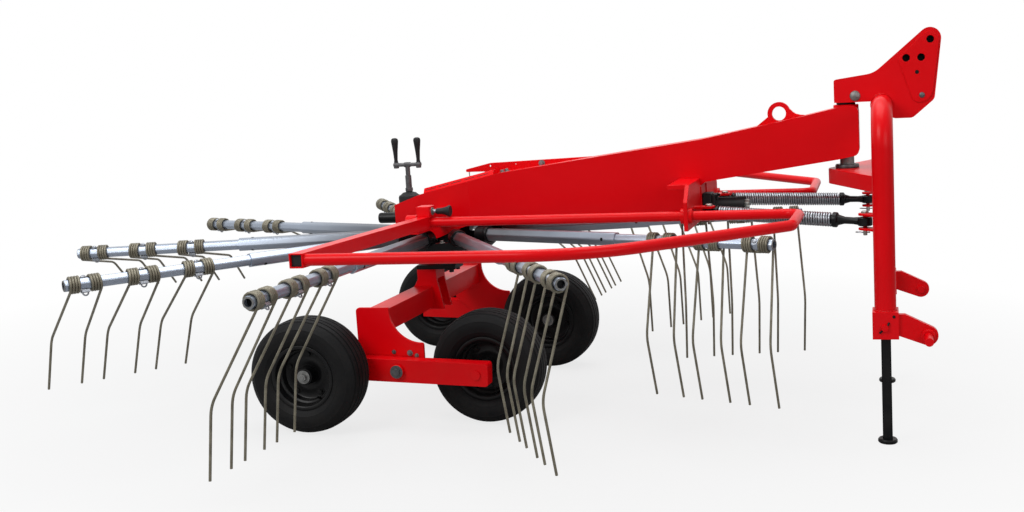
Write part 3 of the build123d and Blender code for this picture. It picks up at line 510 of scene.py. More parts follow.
def softened(node, edge, shortest):
    """A copy of a solid's mesh with its sharp edges rounded, but for those that are too short."""
    bm = bmesh.new()
    bm.from_mesh(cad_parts[node].data)
    bmesh.ops.remove_doubles(bm, verts=bm.verts, dist=2e-5)
    bmesh.ops.dissolve_limit(
        bm,
        angle_limit=math.radians(0.8),
        verts=bm.verts,
        edges=bm.edges,
        use_dissolve_boundaries=False,
    )
    return rounded(bm, [e for e in sharp_edges(bm) if e.calc_length() > shortest], edge)


# Pieces


def placed(name, data):
    made = bpy.data.objects.new(name, data)
    bpy.context.scene.collection.objects.link(made)
    return made


def piece(name, bm, look, body, replaces=(), at=PARKED, angle=35.0):
    """Finishes a shape as a piece that rides on a body and stands for some nodes."""
    if at:
        bmesh.ops.transform(bm, matrix=at, verts=bm.verts)
    mesh = bpy.data.meshes.new(name)
    bm.to_mesh(mesh)
    bm.free()
    mesh.materials.append(FINISH[look])
    mesh.shade_smooth()
    mesh.set_sharp_from_angle(angle=math.radians(angle))
    made = placed(name, mesh)
    even = made.modifiers.new("even shading", "WEIGHTED_NORMAL")
    even.keep_sharp = True
    if body:
        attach(made, body)
    if replaces:
        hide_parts(*replaces)
    return made


def dress(node, edge, look, body, angle=35.0, shortest=0.0):
    """A solid's own shape with its edges rounded, as a piece in its finish."""
    shape = softened(node, edge, shortest)
    return piece(f"{node}_finished", shape, look, body, [node], None, angle)


small_parts = {}


def fit(body, look, part, place=None, keep=False):
    """Adds a small part, drawn level, to the ones that a body carries in a finish."""
    key = (body, look)
    if key not in small_parts:
        small_parts[key] = bmesh.new()
    stamp(small_parts[key], part, place, keep)


def bolt(body, point, direction, flats, look="pin_steel"):
    fit(body, look, hex_head(flats, flats * 0.62), aim(point, direction, 0.3))


def weld(body, points, radius=0.0035, closed=False):
    """A rippled weld bead along straight runs."""
    dense = []
    runs = list(zip(points, points[1:] + points[:1] if closed else points[1:]))
    for start, end in runs:
        start, end = Vector(start), Vector(end)
        count = max(2, int((end - start).length / 0.006))
        dense += [start.lerp(end, n / count) for n in range(count)]
    if not closed:
        dense.append(Vector(points[-1]))
    bead = wire(dense, radius, smooth=False, closed=closed, sides=0, swell=(1.0, 0.82))
    fit(body, "weld_paint", bead)


def circle_points(centre, direction, radius, count=36):
    place = aim(centre, direction)
    return [place @ Vector((x, y, 0)) for x, y in ring(radius, count)]


# Rotor: hub, arms and tines

ARM_COUNT = 10
ARM_STEP = 360.0 / ARM_COUNT
FIRST_ARM = -20.0
CAM_PEAK = 165.0
CAM_SPREAD = 92.0
CAM_SWIVEL = 80.0
BOSS_END = 0.206
INNER_FLATS = 0.046
INNER_END = 0.790
OUTER_FLATS = 0.036
OVERLAP = 0.060
ARM_END = 1.395
ARM_WALL = 0.0045
ARM_PIN = 0.740
# Radius and distance from the rotor's axis
SEAL = [(0.020, 0.2055), (0.030, 0.2055), (0.0315, 0.208), (0.0315, 0.216), (0.030, 0.219), (0.020, 0.219)]
TINE_FIRST = INNER_END + 0.3 * (ARM_END - INNER_END)
TINE_LAST = ARM_END - 0.060
TINE_PLACES = (TINE_FIRST, (TINE_FIRST + TINE_LAST) / 2, TINE_LAST)
TINE_RADIUS = 0.0043
TINE_KNEE = Vector((0.054, -0.026, -0.335))
TINE_TIP = Vector((0.054, 0.035, -0.550))
KNEE_BEND = 0.030
COIL_RADIUS = 0.025
COIL_TURNS = 3.75
COIL_START = 0.0148
COIL_RUN = 0.0320
BOWL_BOLT_CIRCLE = 0.183
BOWL_TOP = 0.594


def arm_place(number):
    """Stands a piece drawn along X onto an arm, swivelled as the cam holds it."""
    angle = FIRST_ARM + ARM_STEP * number
    away = (angle - CAM_PEAK + 180.0) % 360.0 - 180.0
    swivel = CAM_SWIVEL * math.exp(-((away / CAM_SPREAD) ** 2))
    return (
        Matrix.Translation((0, 0, ROTOR_Z))
        @ Matrix.Rotation(math.radians(angle), 4, "Z")
        @ Matrix.Rotation(-math.radians(swivel), 4, "X")
    )


def hexagon_tube(flats, start, end, corner):
    """A drawn hexagonal tube along X with rounded corners and an open outer end."""
    length = end - start
    bm = drum(flats / math.sqrt(3), length, 6)
    long_edges = [e for e in bm.edges if abs(e.verts[0].co.z - e.verts[1].co.z) > 0.01]
    rounded(bm, long_edges, corner, 3)
    mouth = [f for f in bm.faces if f.normal.z > 0.9]
    bmesh.ops.inset_region(bm, faces=mouth, thickness=ARM_WALL, use_even_offset=True)
    bmesh.ops.translate(bm, vec=(0, 0, 0.0012), verts=[v for f in mouth for v in f.verts])
    bore = bmesh.ops.extrude_face_region(bm, geom=mouth)["geom"]
    bmesh.ops.delete(bm, geom=mouth, context="FACES_ONLY")
    deep = [v for v in bore if isinstance(v, bmesh.types.BMVert)]
    bmesh.ops.translate(bm, vec=(0, 0, -min(0.16, length * 0.5)), verts=deep)
    bmesh.ops.transform(bm, matrix=Matrix.Translation((start, 0, 0)) @ ALONG_X, verts=bm.verts)
    return bm


def double_tine_wire():
    """Two close wound coils on an arm, joined underneath, with a bent leg from each."""
    count = int(COIL_TURNS * 16)
    half = []
    for step in range(count + 1):
        share = step / count
        turn = 2 * math.pi * COIL_TURNS * (share - 1)
        x = COIL_START + COIL_RUN * share
        half.append((x, COIL_RADIUS * math.cos(turn), -COIL_RADIUS * math.sin(turn)))
    coil_end = Vector(half[-1])
    before = TINE_KNEE + (coil_end - TINE_KNEE).normalized() * KNEE_BEND
    after = TINE_KNEE + (TINE_TIP - TINE_KNEE).normalized() * KNEE_BEND
    half.append(tuple(coil_end.lerp(before, 0.5)))
    for step in range(6):
        share = step / 5
        half.append(tuple(before.lerp(TINE_KNEE, share).lerp(TINE_KNEE.lerp(after, share), share)))
    half.append(tuple(TINE_TIP))
    other = [(-x, y, z) for x, y, z in half]
    return wire(other[::-1] + half, TINE_RADIUS, smooth=False)


def tine_saddle():
    """Round headed bolt through the arm between the coils, with its plate and loop underneath."""
    head = [
        (0.0, 0.0275), (0.0040, 0.0270), (0.0070, 0.0248), (0.0078, 0.0215), (0.0102, 0.0213),
        (0.0102, 0.0192), (0.0, 0.0192),
    ]
    bm = turned(head, 20)
    stamp(bm, box((-0.0128, -0.0115, -0.0292), (0.0128, 0.0115, -0.0195), 0.0016))
    arc = [math.pi * step / 10 for step in range(11)]
    loop = [(0.0088 * math.cos(a), 0.0, -0.0285 - 0.0098 * math.sin(a)) for a in arc]
    stamp(bm, wire(loop, 0.0026))
    turn = Matrix.Rotation(math.radians(60.0), 3, "X")
    bmesh.ops.rotate(bm, cent=(0, 0, 0), matrix=turn, verts=bm.verts)
    return bm


def make_arm_end(place):
    """The cut rim of an arm's tube, and a black disc inside it as painted shade in the bore."""
    rim = turned([(0.0126, 0.0), (0.0176, 0.0), (0.0176, 0.0022), (0.0126, 0.0022)], 24, True)
    fit("rotor", "dull_steel", rim, place @ Matrix.Translation((ARM_END, 0, 0)) @ ALONG_X)
    # A black disc down the bore, painted shade inside the tube.
    shade_disc_place = place @ Matrix.Translation((ARM_END - 0.016, 0, 0)) @ ALONG_X
    fit("rotor", "black_paint", drum(0.0130, 0.002, 18), shade_disc_place)


def make_rotor():
    inner = bmesh.new()
    outer = bmesh.new()
    inner_tube = hexagon_tube(INNER_FLATS, BOSS_END, INNER_END, 0.005)
    outer_tube = hexagon_tube(OUTER_FLATS, INNER_END - OVERLAP, ARM_END, 0.004)
    wires = double_tine_wire()
    saddle = tine_saddle()
    seal = turned(SEAL, 32)
    for number in range(ARM_COUNT):
        place = arm_place(number)
        stamp(inner, inner_tube, place, keep=True)
        stamp(outer, outer_tube, place, keep=True)
        fit("rotor", "black_paint", seal, place @ ALONG_X, keep=True)
        make_arm_end(place)
        tines = bmesh.new()
        for reach in TINE_PLACES:
            there = place @ Matrix.Translation((reach, 0, 0))
            stamp(tines, wires, there, keep=True)
            fit("rotor", "clamp_zinc", saddle, there, keep=True)
        for side in (1, -1):
            pin = bar((ARM_PIN, 0, 0), (ARM_PIN, side * 0.0255, 0), 0.006, 14, 0.001)
            fit("rotor", "black_paint", pin, place)
        node = f"tines_{number + 1}"
        piece(f"double_{node}", tines, "tine_wire", "rotor", [node], angle=50)
    for part in (inner_tube, outer_tube, wires, saddle, seal):
        part.free()
    piece("inner_arm_tubes", inner, "galvanised", "rotor", ["inner_arms"])
    piece("outer_arm_tubes", outer, "galvanised", "rotor", ["outer_arms"])
    for number in range(ARM_COUNT):
        angle = math.radians(FIRST_ARM + ARM_STEP * (number + 0.5))
        spot = (BOWL_BOLT_CIRCLE * math.cos(angle), BOWL_BOLT_CIRCLE * math.sin(angle), BOWL_TOP)
        bolt("rotor", spot, (0, 0, 1), 0.012)


# Wheels

AXLE_Z = 0.201
# End of the rocker, X, Y and whether the hub's open end faces outwards
AXLES = (("rear", -0.266, 0.640, 1), ("front", 0.306, 0.400, -1))
HUB_HALF = 0.0482
STUD_COUNT = 5
STUD_CIRCLE = 0.072
TYRE_HALF = [
    (0.2005, 0.0), (0.2005, 0.0095), (0.1955, 0.0110), (0.1955, 0.0150), (0.2003, 0.0165),
    (0.1996, 0.0300), (0.1945, 0.0315), (0.1945, 0.0355), (0.1984, 0.0370), (0.1952, 0.0505),
    (0.1905, 0.0520), (0.1905, 0.0555), (0.1922, 0.0575), (0.1870, 0.0640), (0.1805, 0.0695),
    (0.1730, 0.0735), (0.1705, 0.0755), (0.1680, 0.0752), (0.1640, 0.0762), (0.1550, 0.0775),
    (0.1445, 0.0770), (0.1360, 0.0748), (0.1335, 0.0752), (0.1310, 0.0735), (0.1240, 0.0705),
    (0.1185, 0.0668), (0.1150, 0.0640), (0.1130, 0.0598), (0.1043, 0.0598),
]
RIM_HALF = [
    (0.1035, 0.0), (0.1035, 0.0595), (0.1125, 0.0600), (0.1128, 0.0640), (0.1105, 0.0652),
    (0.1060, 0.0650), (0.1015, 0.0638), (0.0985, 0.0600), (0.0965, 0.0400), (0.0945, 0.0360),
    (0.0885, 0.0330), (0.0868, 0.0290), (0.0850, 0.0130), (0.0800, 0.0090), (0.0660, 0.0085),
    (0.0560, 0.0120), (0.0480, 0.0130), (0.0400, 0.0095), (0.0330, 0.0090), (0.0305, 0.0120),
    (0.0300, 0.0440), (0.0285, 0.0470), (0.0260, 0.0480), (0.0155, 0.0480),
]


def mirrored_line(half):
    return half[::-1] + [(r, -z) for r, z in half[1:]]


def wheel_rim():
    """Dished rim with its hub, wheel studs and valve stem."""
    rim = turned(mirrored_line(RIM_HALF), 72)
    for face in (1, -1):
        for stud in range(STUD_COUNT):
            angle = 2 * math.pi * stud / STUD_COUNT
            spot = (STUD_CIRCLE * math.cos(angle), STUD_CIRCLE * math.sin(angle), face * 0.0088)
            stamp(rim, hex_head(0.014, 0.007, 0.0015), aim(spot, (0, 0, face), angle))
    stamp(rim, bar((0.094, 0, 0.030), (0.080, 0, 0.052), 0.004, 10, 0.001))
    return rim


def wheel_stations():
    """Name, centre, hub direction and turn of each wheel."""
    for name, side in SIDES.items():
        for end, x, y, facing in AXLES:
            centre = Vector((x, side * y, AXLE_Z))
            yield f"{end}_{name}", centre, Vector((0, side * facing, 0)), 0.7 * side + x


def make_wheels():
    tyre = turned(mirrored_line(TYRE_HALF), 96, True)
    rim = wheel_rim()
    for station, centre, out, turn in wheel_stations():
        for part, word, look in ((tyre, "tyre", "tyre"), (rim, "rim", "black_paint")):
            shape = stamp(bmesh.new(), part, aim(centre, out, turn), keep=True)
            node = f"{word}_{station}"
            piece(f"ribbed_{node}", shape, look, f"wheel_{station}", [node], LEVEL, 40)
    tyre.free()
    rim.free()


def make_axle_nuts():
    """Washer, nut and stub of the axle at each hub's open end."""
    for station, centre, out, turn in wheel_stations():
        hub_end = centre + out * HUB_HALF
        nut = bmesh.new()
        stamp(nut, drum(0.0205, 0.003, 28, 0.001), aim(hub_end, out))
        stamp(nut, hex_head(0.024, 0.011, 0.001), aim(hub_end + out * 0.003, out, 0.2))
        stamp(nut, bar(hub_end + out * 0.0120, hub_end + out * 0.0168, 0.0075, 18, 0.0015))
        piece(f"axle_nut_wheel_{station}", nut, "dull_steel", "frame", (), LEVEL)


# Frame: beam, rail, undercarriage, drive and height crank

# X and Z of the beam's top edge where it ends and where it bends
BEAM_TAIL = (-0.079, 0.766)
BEAM_BEND = (0.259, 0.841)
FLARE_END = 0.127
TAIL_HALF = 0.038
BEAM_HALF = 0.065
LUG_X = 0.010
LUG_HALF = 0.019
WEB_X = 1.0150
COVER_LEAN = Matrix(((1, 0, 0, 0), (-0.0733, 1, 1.1, -0.0055), (0, 0, 1, 0), (0, 0, 0, 1)))
RAIL_Y = 0.052
RAIL_HALF = 0.0045
PIVOT_X = 0.002
# X and Z of a rocker's front axle on the drawing that is parked
ROCKER_FRONT_AXLE = (0.2879, 0.1880)
SIDE_PLATE_FACE = 0.4995
# X, Z, width across flats and finish
SIDE_PLATE_BOLTS = (
    (-0.030, 0.2563, 0.008, "crank_iron"),
    (0.030, 0.2528, 0.011, "dull_steel"),
    (0.055, 0.2440, 0.008, "dull_steel"),
)
DRIVE_REAR = 1.0145
DRIVE_Z = 0.694
SPLINES = 6
CRANK_X = -0.138
GRIP_REACH = 0.046


def flank(x):
    """Half the beam's width, which flares from the narrow tail."""
    share = (x - BEAM_TAIL[0]) / (FLARE_END - BEAM_TAIL[0])
    return TAIL_HALF + (BEAM_HALF - TAIL_HALF) * min(max(share, 0.0), 1.0)


def on_slope():
    """Sets a small part, drawn flat, onto the beam's sloping top near the rear."""
    (tail_x, tail_z), (bend_x, bend_z) = BEAM_TAIL, BEAM_BEND
    rise = math.atan((bend_z - tail_z) / (bend_x - tail_x))
    bend = Matrix.Translation((bend_x, 0, bend_z)) @ Matrix.Rotation(-rise, 4, "Y")
    return bend @ Matrix.Translation((-bend_x, 0, 0))


def make_beam():
    dress("main_beam", 0.0045, "red_paint", "frame", angle=5, shortest=0.08)
    dress("guard_lugs", 0.0025, "red_paint", "frame")
    dress("crossbar", 0.0020, "red_paint", "frame")
    dress("kingpin", 0.0025, "dull_steel", "frame")
    for side in (1, -1):
        web_y = side * (BEAM_HALF + 0.001)
        weld("frame", [(WEB_X, web_y, 0.652), (WEB_X, web_y, 0.768)], 0.003)
        eye_y = side * 0.011
        weld("frame", [(1.225, eye_y, 0.972), (1.390, eye_y, 1.0035)], 0.003)
        rear, front = [(x, side * (flank(x) + 0.001)) for x in (LUG_X - LUG_HALF, LUG_X + LUG_HALF)]
        weld("frame", [(*rear, 0.652), (*rear, 0.713), (*front, 0.713), (*front, 0.652)], 0.003)
    make_cover()
    make_lift_eye_foot()
    make_rail()


def make_cover():
    """Slotted cover that leans on the beam's sloping top, with black strips as painted shade in its slots,
    and two screws in front of it.
    """
    lean = on_slope() @ COVER_LEAN
    fit("frame", "red_paint", box((-0.075, -0.034, 0.0), (0.225, 0.018, 0.018), 0.002), lean)
    # Black strips on the cover's face are painted shade in its slots.
    painted_slot_shade = box((0.0, -0.0343, 0.0080), (0.044, -0.0330, 0.0104), 0.0004, 1)
    for step in range(5):
        place = lean @ Matrix.Translation((0.056 * step - 0.066, 0, 0))
        fit("frame", "black_paint", painted_slot_shade, place, keep=True)
    painted_slot_shade.free()
    for x in (0.250, 0.268):
        place = on_slope() @ aim((x, -0.012, -0.002), (0, 0, 1))
        fit("frame", "dull_steel", hex_head(0.013, 0.009), place)


def make_lift_eye_foot():
    """The curved front foot of the lift eye's plate."""
    outline = [
        (1.331, 1.036), (1.342, 1.028), (1.350, 1.0195), (1.360, 1.0130), (1.374, 1.0090),
        (1.392, 1.0068), (1.392, 0.998), (1.331, 0.988),
    ]
    fit("frame", "red_paint", cut_plate(outline, [], 0.0196), UPRIGHT)


def make_rail():
    """Drilled plate on the beam's far edge, with the stowed tube on it."""
    outline = [
        (0.082, 0.839), (0.156, 0.839), (0.170, 0.833), (0.176, 0.824), (0.590, 0.839),
        (0.590, 0.8832), (0.182, 0.8715), (0.082, 0.8495),
    ]
    holes = [(0.182, 0.8600, 0.0033), (0.285, 0.8640, 0.0020)]
    plate = cut_plate(round_corners(outline, 0.004), holes, 0.008)
    rail = stamp(bmesh.new(), plate, Matrix.Translation((0, RAIL_Y, 0)) @ UPRIGHT)
    piece("stowage_rail", rail, "red_paint", "frame", ["storage_rail"])
    for side in (-1, 1):
        bolt("frame", (0.390, RAIL_Y + side * RAIL_HALF, 0.8640), (0, side, 0), 0.013, "dull_steel")
    hook = [(0.094, RAIL_Y, 0.842), (0.094, RAIL_Y, 0.820), (0.098, RAIL_Y, 0.806)]
    fit("frame", "pin_steel", wire(hook, 0.0022))
    stowed = bar((0.345, 0.071, 0.864), (0.600, 0.071, 0.868), 0.0105, 24, 0.0015)
    fit("frame", "galvanised", stowed)


def make_rocker_fittings(side):
    """Side plate bolts, the pivot's cap and the axle boss of one rocker."""
    out = (0, side, 0)
    for x, z, flats, look in SIDE_PLATE_BOLTS:
        bolt("frame", (x, side * SIDE_PLATE_FACE, z), out, flats, look)
    pivot_z = ROTOR_Z + (AXLE_Z - ROTOR_Z - PIVOT_X * math.sin(PITCH)) / math.cos(PITCH)
    cap = [(0.0, 0.010), (0.012, 0.0095), (0.0195, 0.0085), (0.0220, 0.006), (0.0220, 0.0), (0.0, 0.0)]
    fit("frame", "crank_iron", turned(cap, 32), aim((PIVOT_X, side * 0.5557, pivot_z), out))
    fit("frame", "crank_iron", hex_head(0.024, 0.006), aim((PIVOT_X, side * 0.5635, pivot_z), out))
    axle_x, axle_z = ROCKER_FRONT_AXLE
    fit("frame", "red_paint", drum(0.0165, 0.003, 28, 0.001), aim((axle_x, side * 0.5553, axle_z), out))


def make_undercarriage():
    dress("undercarriage", 0.0022, "red_paint", "frame")
    dress("gear_case", 0.003, "black_paint", "frame")
    dress("rotor_hub", 0.003, "black_paint", "rotor")
    cross_tube = [(-0.133, 0.325), (-0.051, 0.325), (-0.051, 0.407), (-0.133, 0.407)]
    for name, side in SIDES.items():
        dress(f"rocker_{name}", 0.0045, "red_paint", "frame")
        make_rocker_fittings(side)
        weld("frame", [(x, side * 0.4868, z) for x, z in cross_tube], closed=True)
        fork_y = side * 0.0475
        weld("frame", [(-0.126, fork_y, 0.4075), (-0.053, fork_y, 0.4075)])
        bolt("frame", (0.026, side * 0.034, 0.4735), (0, 0, -1), 0.016, "black_paint")


def splined_shaft(start, end, root, crest):
    """A splined shaft along X."""
    bm = bmesh.new()
    bmesh.ops.create_circle(bm, cap_ends=True, segments=SPLINES * 8, radius=root)
    for vert in bm.verts:
        phase = (math.atan2(vert.co.y, vert.co.x) / (2 * math.pi) * SPLINES) % 1.0
        if phase < 0.49:
            vert.co *= crest / root
    made = bmesh.ops.extrude_face_region(bm, geom=bm.faces[:])["geom"]
    moved = [v for v in made if isinstance(v, bmesh.types.BMVert)]
    bmesh.ops.translate(bm, vec=(0, 0, end - start), verts=moved)
    bmesh.ops.recalc_face_normals(bm, faces=bm.faces)
    bmesh.ops.transform(bm, matrix=Matrix.Translation((start, 0, 0)) @ ALONG_X, verts=bm.verts)
    return bm


def make_drive():
    """Bearing block with its shaft cover, and the splined shaft inside."""
    on_axis = Matrix.Translation((0, 0, DRIVE_Z))
    housing = bmesh.new()
    stamp(housing, box((DRIVE_REAR, -0.038, 0.662), (1.048, 0.038, 0.738), 0.004, 3))
    stamp(housing, box((1.046, -0.034, 0.666), (1.064, 0.034, 0.734), 0.006, 3))
    cover = [
        (0.0240, 1.062), (0.0300, 1.062), (0.0300, 1.068), (0.0270, 1.071), (0.0262, 1.128),
        (0.0275, 1.146), (0.0290, 1.168), (0.0265, 1.168), (0.0245, 1.128), (0.0240, 1.062),
    ]
    stamp(housing, turned(cover, 40), on_axis @ ALONG_X)
    piece("drive_housing", housing, "black_plastic", "frame", ["drive_input"])
    fit("frame", "pin_steel", splined_shaft(DRIVE_REAR, 1.182, 0.0147, 0.0173), on_axis)
    for y in (-0.026, 0.026):
        for z in (0.672, 0.726):
            bolt("frame", (1.0635, y, z), (1, 0, 0), 0.010, "black_paint")


def make_crank():
    """Upright spindle with a cross bar and two grips."""
    spindle = Matrix.Translation((CRANK_X, 0, 0))
    metal = bmesh.new()
    stamp(metal, bar((0, 0, 0.770), (0, 0, 0.880), 0.0090, 24, 0.001))
    stamp(metal, bar((0, 0, 0.778), (0, 0, 0.838), 0.0118, 24, 0.0015))
    stamp(metal, bar((0, 0, 0.777), (0, 0, 0.790), 0.0150, 6, 0.0015))
    stamp(metal, box((-0.012, -0.010, 0.870), (0.012, 0.010, 0.889), 0.003))
    stamp(metal, box((-0.056, -0.011, 0.8725), (0.056, 0.011, 0.8865), 0.004))
    profile = [
        (0.0, 0.888), (0.0072, 0.888), (0.0080, 0.892), (0.0068, 0.898), (0.0090, 0.930),
        (0.0128, 0.962), (0.0140, 0.972), (0.0122, 0.980), (0.0065, 0.9835), (0.0, 0.984),
    ]
    grip = turned(profile, 24)
    for end in (-GRIP_REACH, GRIP_REACH):
        stamp(metal, bar((end, 0, 0.866), (end, 0, 0.889), 0.0100, 20, 0.002))
        fit("frame", "black_plastic", grip, spindle @ Matrix.Translation((end, 0, 0)), keep=True)
    grip.free()
    bmesh.ops.transform(metal, matrix=spindle, verts=metal.verts)
    piece("height_crank", metal, "crank_iron", "frame", ["height_adjuster"])


def make_tail():
    """Boot under the crank, the tube behind the tail and black sheets in its sides as painted shade in its
    windows.
    """
    boot = [
        (0.0, 0.778), (0.012, 0.778), (0.014, 0.774), (0.026, 0.771), (0.034, 0.764),
        (0.041, 0.760), (0.0435, 0.754), (0.0435, 0.715), (0.0, 0.715),
    ]
    squashed = Matrix.Translation((CRANK_X, 0, 0)) @ Matrix.Diagonal((1, 0.82, 1, 1))
    fit("frame", "black_plastic", turned(boot, 32), squashed)
    tube = [
        (0.0, 0.0), (0.0205, 0.0), (0.021, 0.002), (0.021, 0.075), (0.0195, 0.080),
        (0.016, 0.080), (0.015, 0.077), (0.015, 0.040), (0.0, 0.040),
    ]
    fit("frame", "black_paint", turned(tube, 32), aim((-0.188, 0, 0.674), (-1, 0, 0)))
    for side in (1, -1):
        # Thin black sheets are painted shade in the windows of the tail.
        painted_shade_window = box((-0.135, side * 0.0243, 0.588), (-0.061, side * 0.0258, 0.616), 0.0005, 1)
        fit("frame", "black_paint", painted_shade_window)


# Guards

GUARD_Y = 0.340
PLUNGER_Z = 0.733
MOUTH_Y = 1.300


def make_guards():
    """Guard tubes, each with a black plate as painted shade in the mouth of its square arm, and its spring
    plunger.
    """
    knob = [
        (0.0, 0.0), (0.0085, 0.0), (0.0105, 0.003), (0.0110, 0.020), (0.0145, 0.036),
        (0.0185, 0.046), (0.0205, 0.050), (0.0185, 0.054), (0.0, 0.0545),
    ]
    for name, side in SIDES.items():
        body = f"guard_{name}"
        dress(body, 0.0030, "red_paint", body)
        deep = side * MOUTH_Y
        # A black plate at the square arm's mouth is painted shade inside the tube.
        mouth = box((0.0425, deep - 0.001, 0.6943), (0.0755, deep + 0.001, 0.7273), 0.0005, 1)
        fit(body, "black_plastic", mouth)
        y = side * GUARD_Y
        fit(body, "red_paint", box((0.036, y - 0.029, 0.712), (0.087, y + 0.029, 0.753), 0.004))
        sleeve = bar((0.084, y, PLUNGER_Z), (0.106, y, PLUNGER_Z), 0.0075, 20, 0.001)
        fit(body, "spring_zinc", sleeve)
        fit(body, "dull_steel", hex_head(0.015, 0.006), aim((0.0865, y, PLUNGER_Z), (1, 0, 0)))
        fit(body, "black_plastic", turned(knob, 28), aim((0.102, y, PLUNGER_Z), (1, 0, 0)))


# Headstock and stands

KINGPIN_X = 1.536
LEG_X = 1.660
LEG_Y = 0.390
LEG_BEAD = 0.0365
# X and Z of the mast's top link holes, of a smaller hole and of the doubler's outline
MAST_HOLES = ((1.826, 1.250), (1.745, 1.190), (1.795, 1.190))
PIN_HOLE = (1.7805, 1.1402)
DOUBLER = [
    (1.7168, 1.1880), (1.7960, 1.2640), (1.8260, 1.2820), (1.8560, 1.2550), (1.8505, 1.2080),
    (1.8320, 1.0660), (1.8150, 1.0440), (1.7860, 1.0340), (1.7660, 1.0440),
]
STAND_LOW = -0.062
STAND_TOP = 0.436
STAND_HALF = 0.016
STAND_WALL = 0.004
STAND_CUT = 0.008
HOLE_FIRST = STAND_LOW + 0.075
HOLE_STEP = 0.032
HOLE_COUNT = 13


def make_mast_fittings(side):
    """Doubler plate on a mast plate's outer face, its round heads and the weld at the tube."""
    out = (0, side, 0)
    holes = [(x, z, 0.01285) for x, z in MAST_HOLES] + [(*PIN_HOLE, 0.0065)]
    plate = cut_plate(round_corners(DOUBLER, 0.012), holes, 0.006)
    fit("headstock", "red_paint", plate, Matrix.Translation((0, side * 0.0545, 0)) @ UPRIGHT)
    dome = turned([(0.0, 0.009), (0.010, 0.0082), (0.0162, 0.005), (0.0185, 0.0), (0.0, 0.0)], 28)
    fit("headstock", "dull_steel", dome, aim((1.5697, side * 0.052, 1.0676), out))
    cap = turned([(0.0, 0.005), (0.0060, 0.0045), (0.0090, 0.0028), (0.0100, 0.0), (0.0, 0.0)], 24)
    fit("headstock", "crank_iron", cap, aim((1.7959, side * 0.0575, 1.0609), out))
    pin_x, pin_z = PIN_HOLE
    # A black disc in the pin hole is painted shade in the hole.
    fit("headstock", "black_paint", drum(0.0064, 0.002, 18), aim((pin_x, side * 0.0560, pin_z), out))
    tube_end = circle_points((LEG_X, side * 0.0530, 1.034), (0, 1, 0), LEG_BEAD)
    weld("headstock", tube_end, 0.003, True)


def make_leg_fittings(side):
    """Weld, boss and clip at a leg's lower end, and the collar of its hitch pin."""
    out = (0, side, 0)
    leg_end = circle_points((LEG_X, side * LEG_Y, 0.377), (0, 0, 1), LEG_BEAD)
    weld("headstock", leg_end, 0.003, True)
    boss = bar((1.6577, side * 0.430, 0.3249), (1.6577, side * 0.446, 0.3249), 0.0115, 28, 0.002)
    fit("headstock", "red_paint", boss)
    face, near, far = side * 0.436, side * 0.439, side * 0.442
    lower = ((1.6405, near, 0.3075), (1.649, far, 0.316))
    upper = ((1.666, far, 0.333), (1.672, near, 0.343))
    for start, end in (lower, upper):
        fit("headstock", "black_paint", bar(start, end, 0.0032, 12, 0.0008))
    fit("headstock", "black_paint", drum(0.005, 0.0015, 14), aim((1.6868, face, 0.3612), out))
    collar = [
        (0.0148, 0.0), (0.021, 0.0), (0.0225, 0.002), (0.0225, 0.008), (0.021, 0.010), (0.0148, 0.010),
    ]
    fit("headstock", "red_paint", turned(collar, 28, True), aim((1.794, side * 0.424, 0.296), out))


def make_kingpin_fittings():
    """Bush under the beam's nose, and the pad and washer above it; the black washer is painted shade in the
    gap under the mast.
    """
    on_pin = Matrix.Translation((KINGPIN_X, 0, 0))
    bush = [(0.026, 0.814), (0.040, 0.814), (0.0420, 0.817), (0.0420, 0.824), (0.040, 0.827), (0.026, 0.827)]
    fit("headstock", "crank_iron", turned(bush, 36, True), on_pin)
    pad = [(0.026, 1.016), (0.043, 1.016), (0.044, 1.018), (0.044, 1.036), (0.042, 1.038), (0.026, 1.038)]
    fit("frame", "red_paint", turned(pad, 36, True), on_pin)
    # The black washer is painted shade in the gap between the pad and the mast.
    washer = [
        (0.026, 1.0388), (0.032, 1.0388), (0.033, 1.0395), (0.033, 1.0450), (0.032, 1.0458), (0.026, 1.0458),
    ]
    fit("headstock", "black_paint", turned(washer, 36, True), on_pin)


def make_mast_holes():
    """A dark sleeve and disc in each hole of the mast, painted shade in the holes."""
    sleeve = [(0.0130, -0.0395), (0.0165, -0.0395), (0.0165, 0.0395), (0.0130, 0.0395)]
    for x, z in MAST_HOLES:
        fit("headstock", "black_paint", turned(sleeve, 24, True), aim((x, 0, z), (0, 1, 0)))
        fit("headstock", "black_plastic", drum(0.0134, 0.004, 24), aim((x, -0.002, z), (0, 1, 0)))


def make_headstock():
    edges = {"headstock_tube": 0.0020, "mast": 0.0022, "yoke": 0.0045, "lower_hitch": 0.0040}
    for node, edge in edges.items():
        dress(node, edge, "red_paint", "headstock")
    for side in (1, -1):
        make_mast_fittings(side)
        make_leg_fittings(side)
    make_kingpin_fittings()
    make_mast_holes()


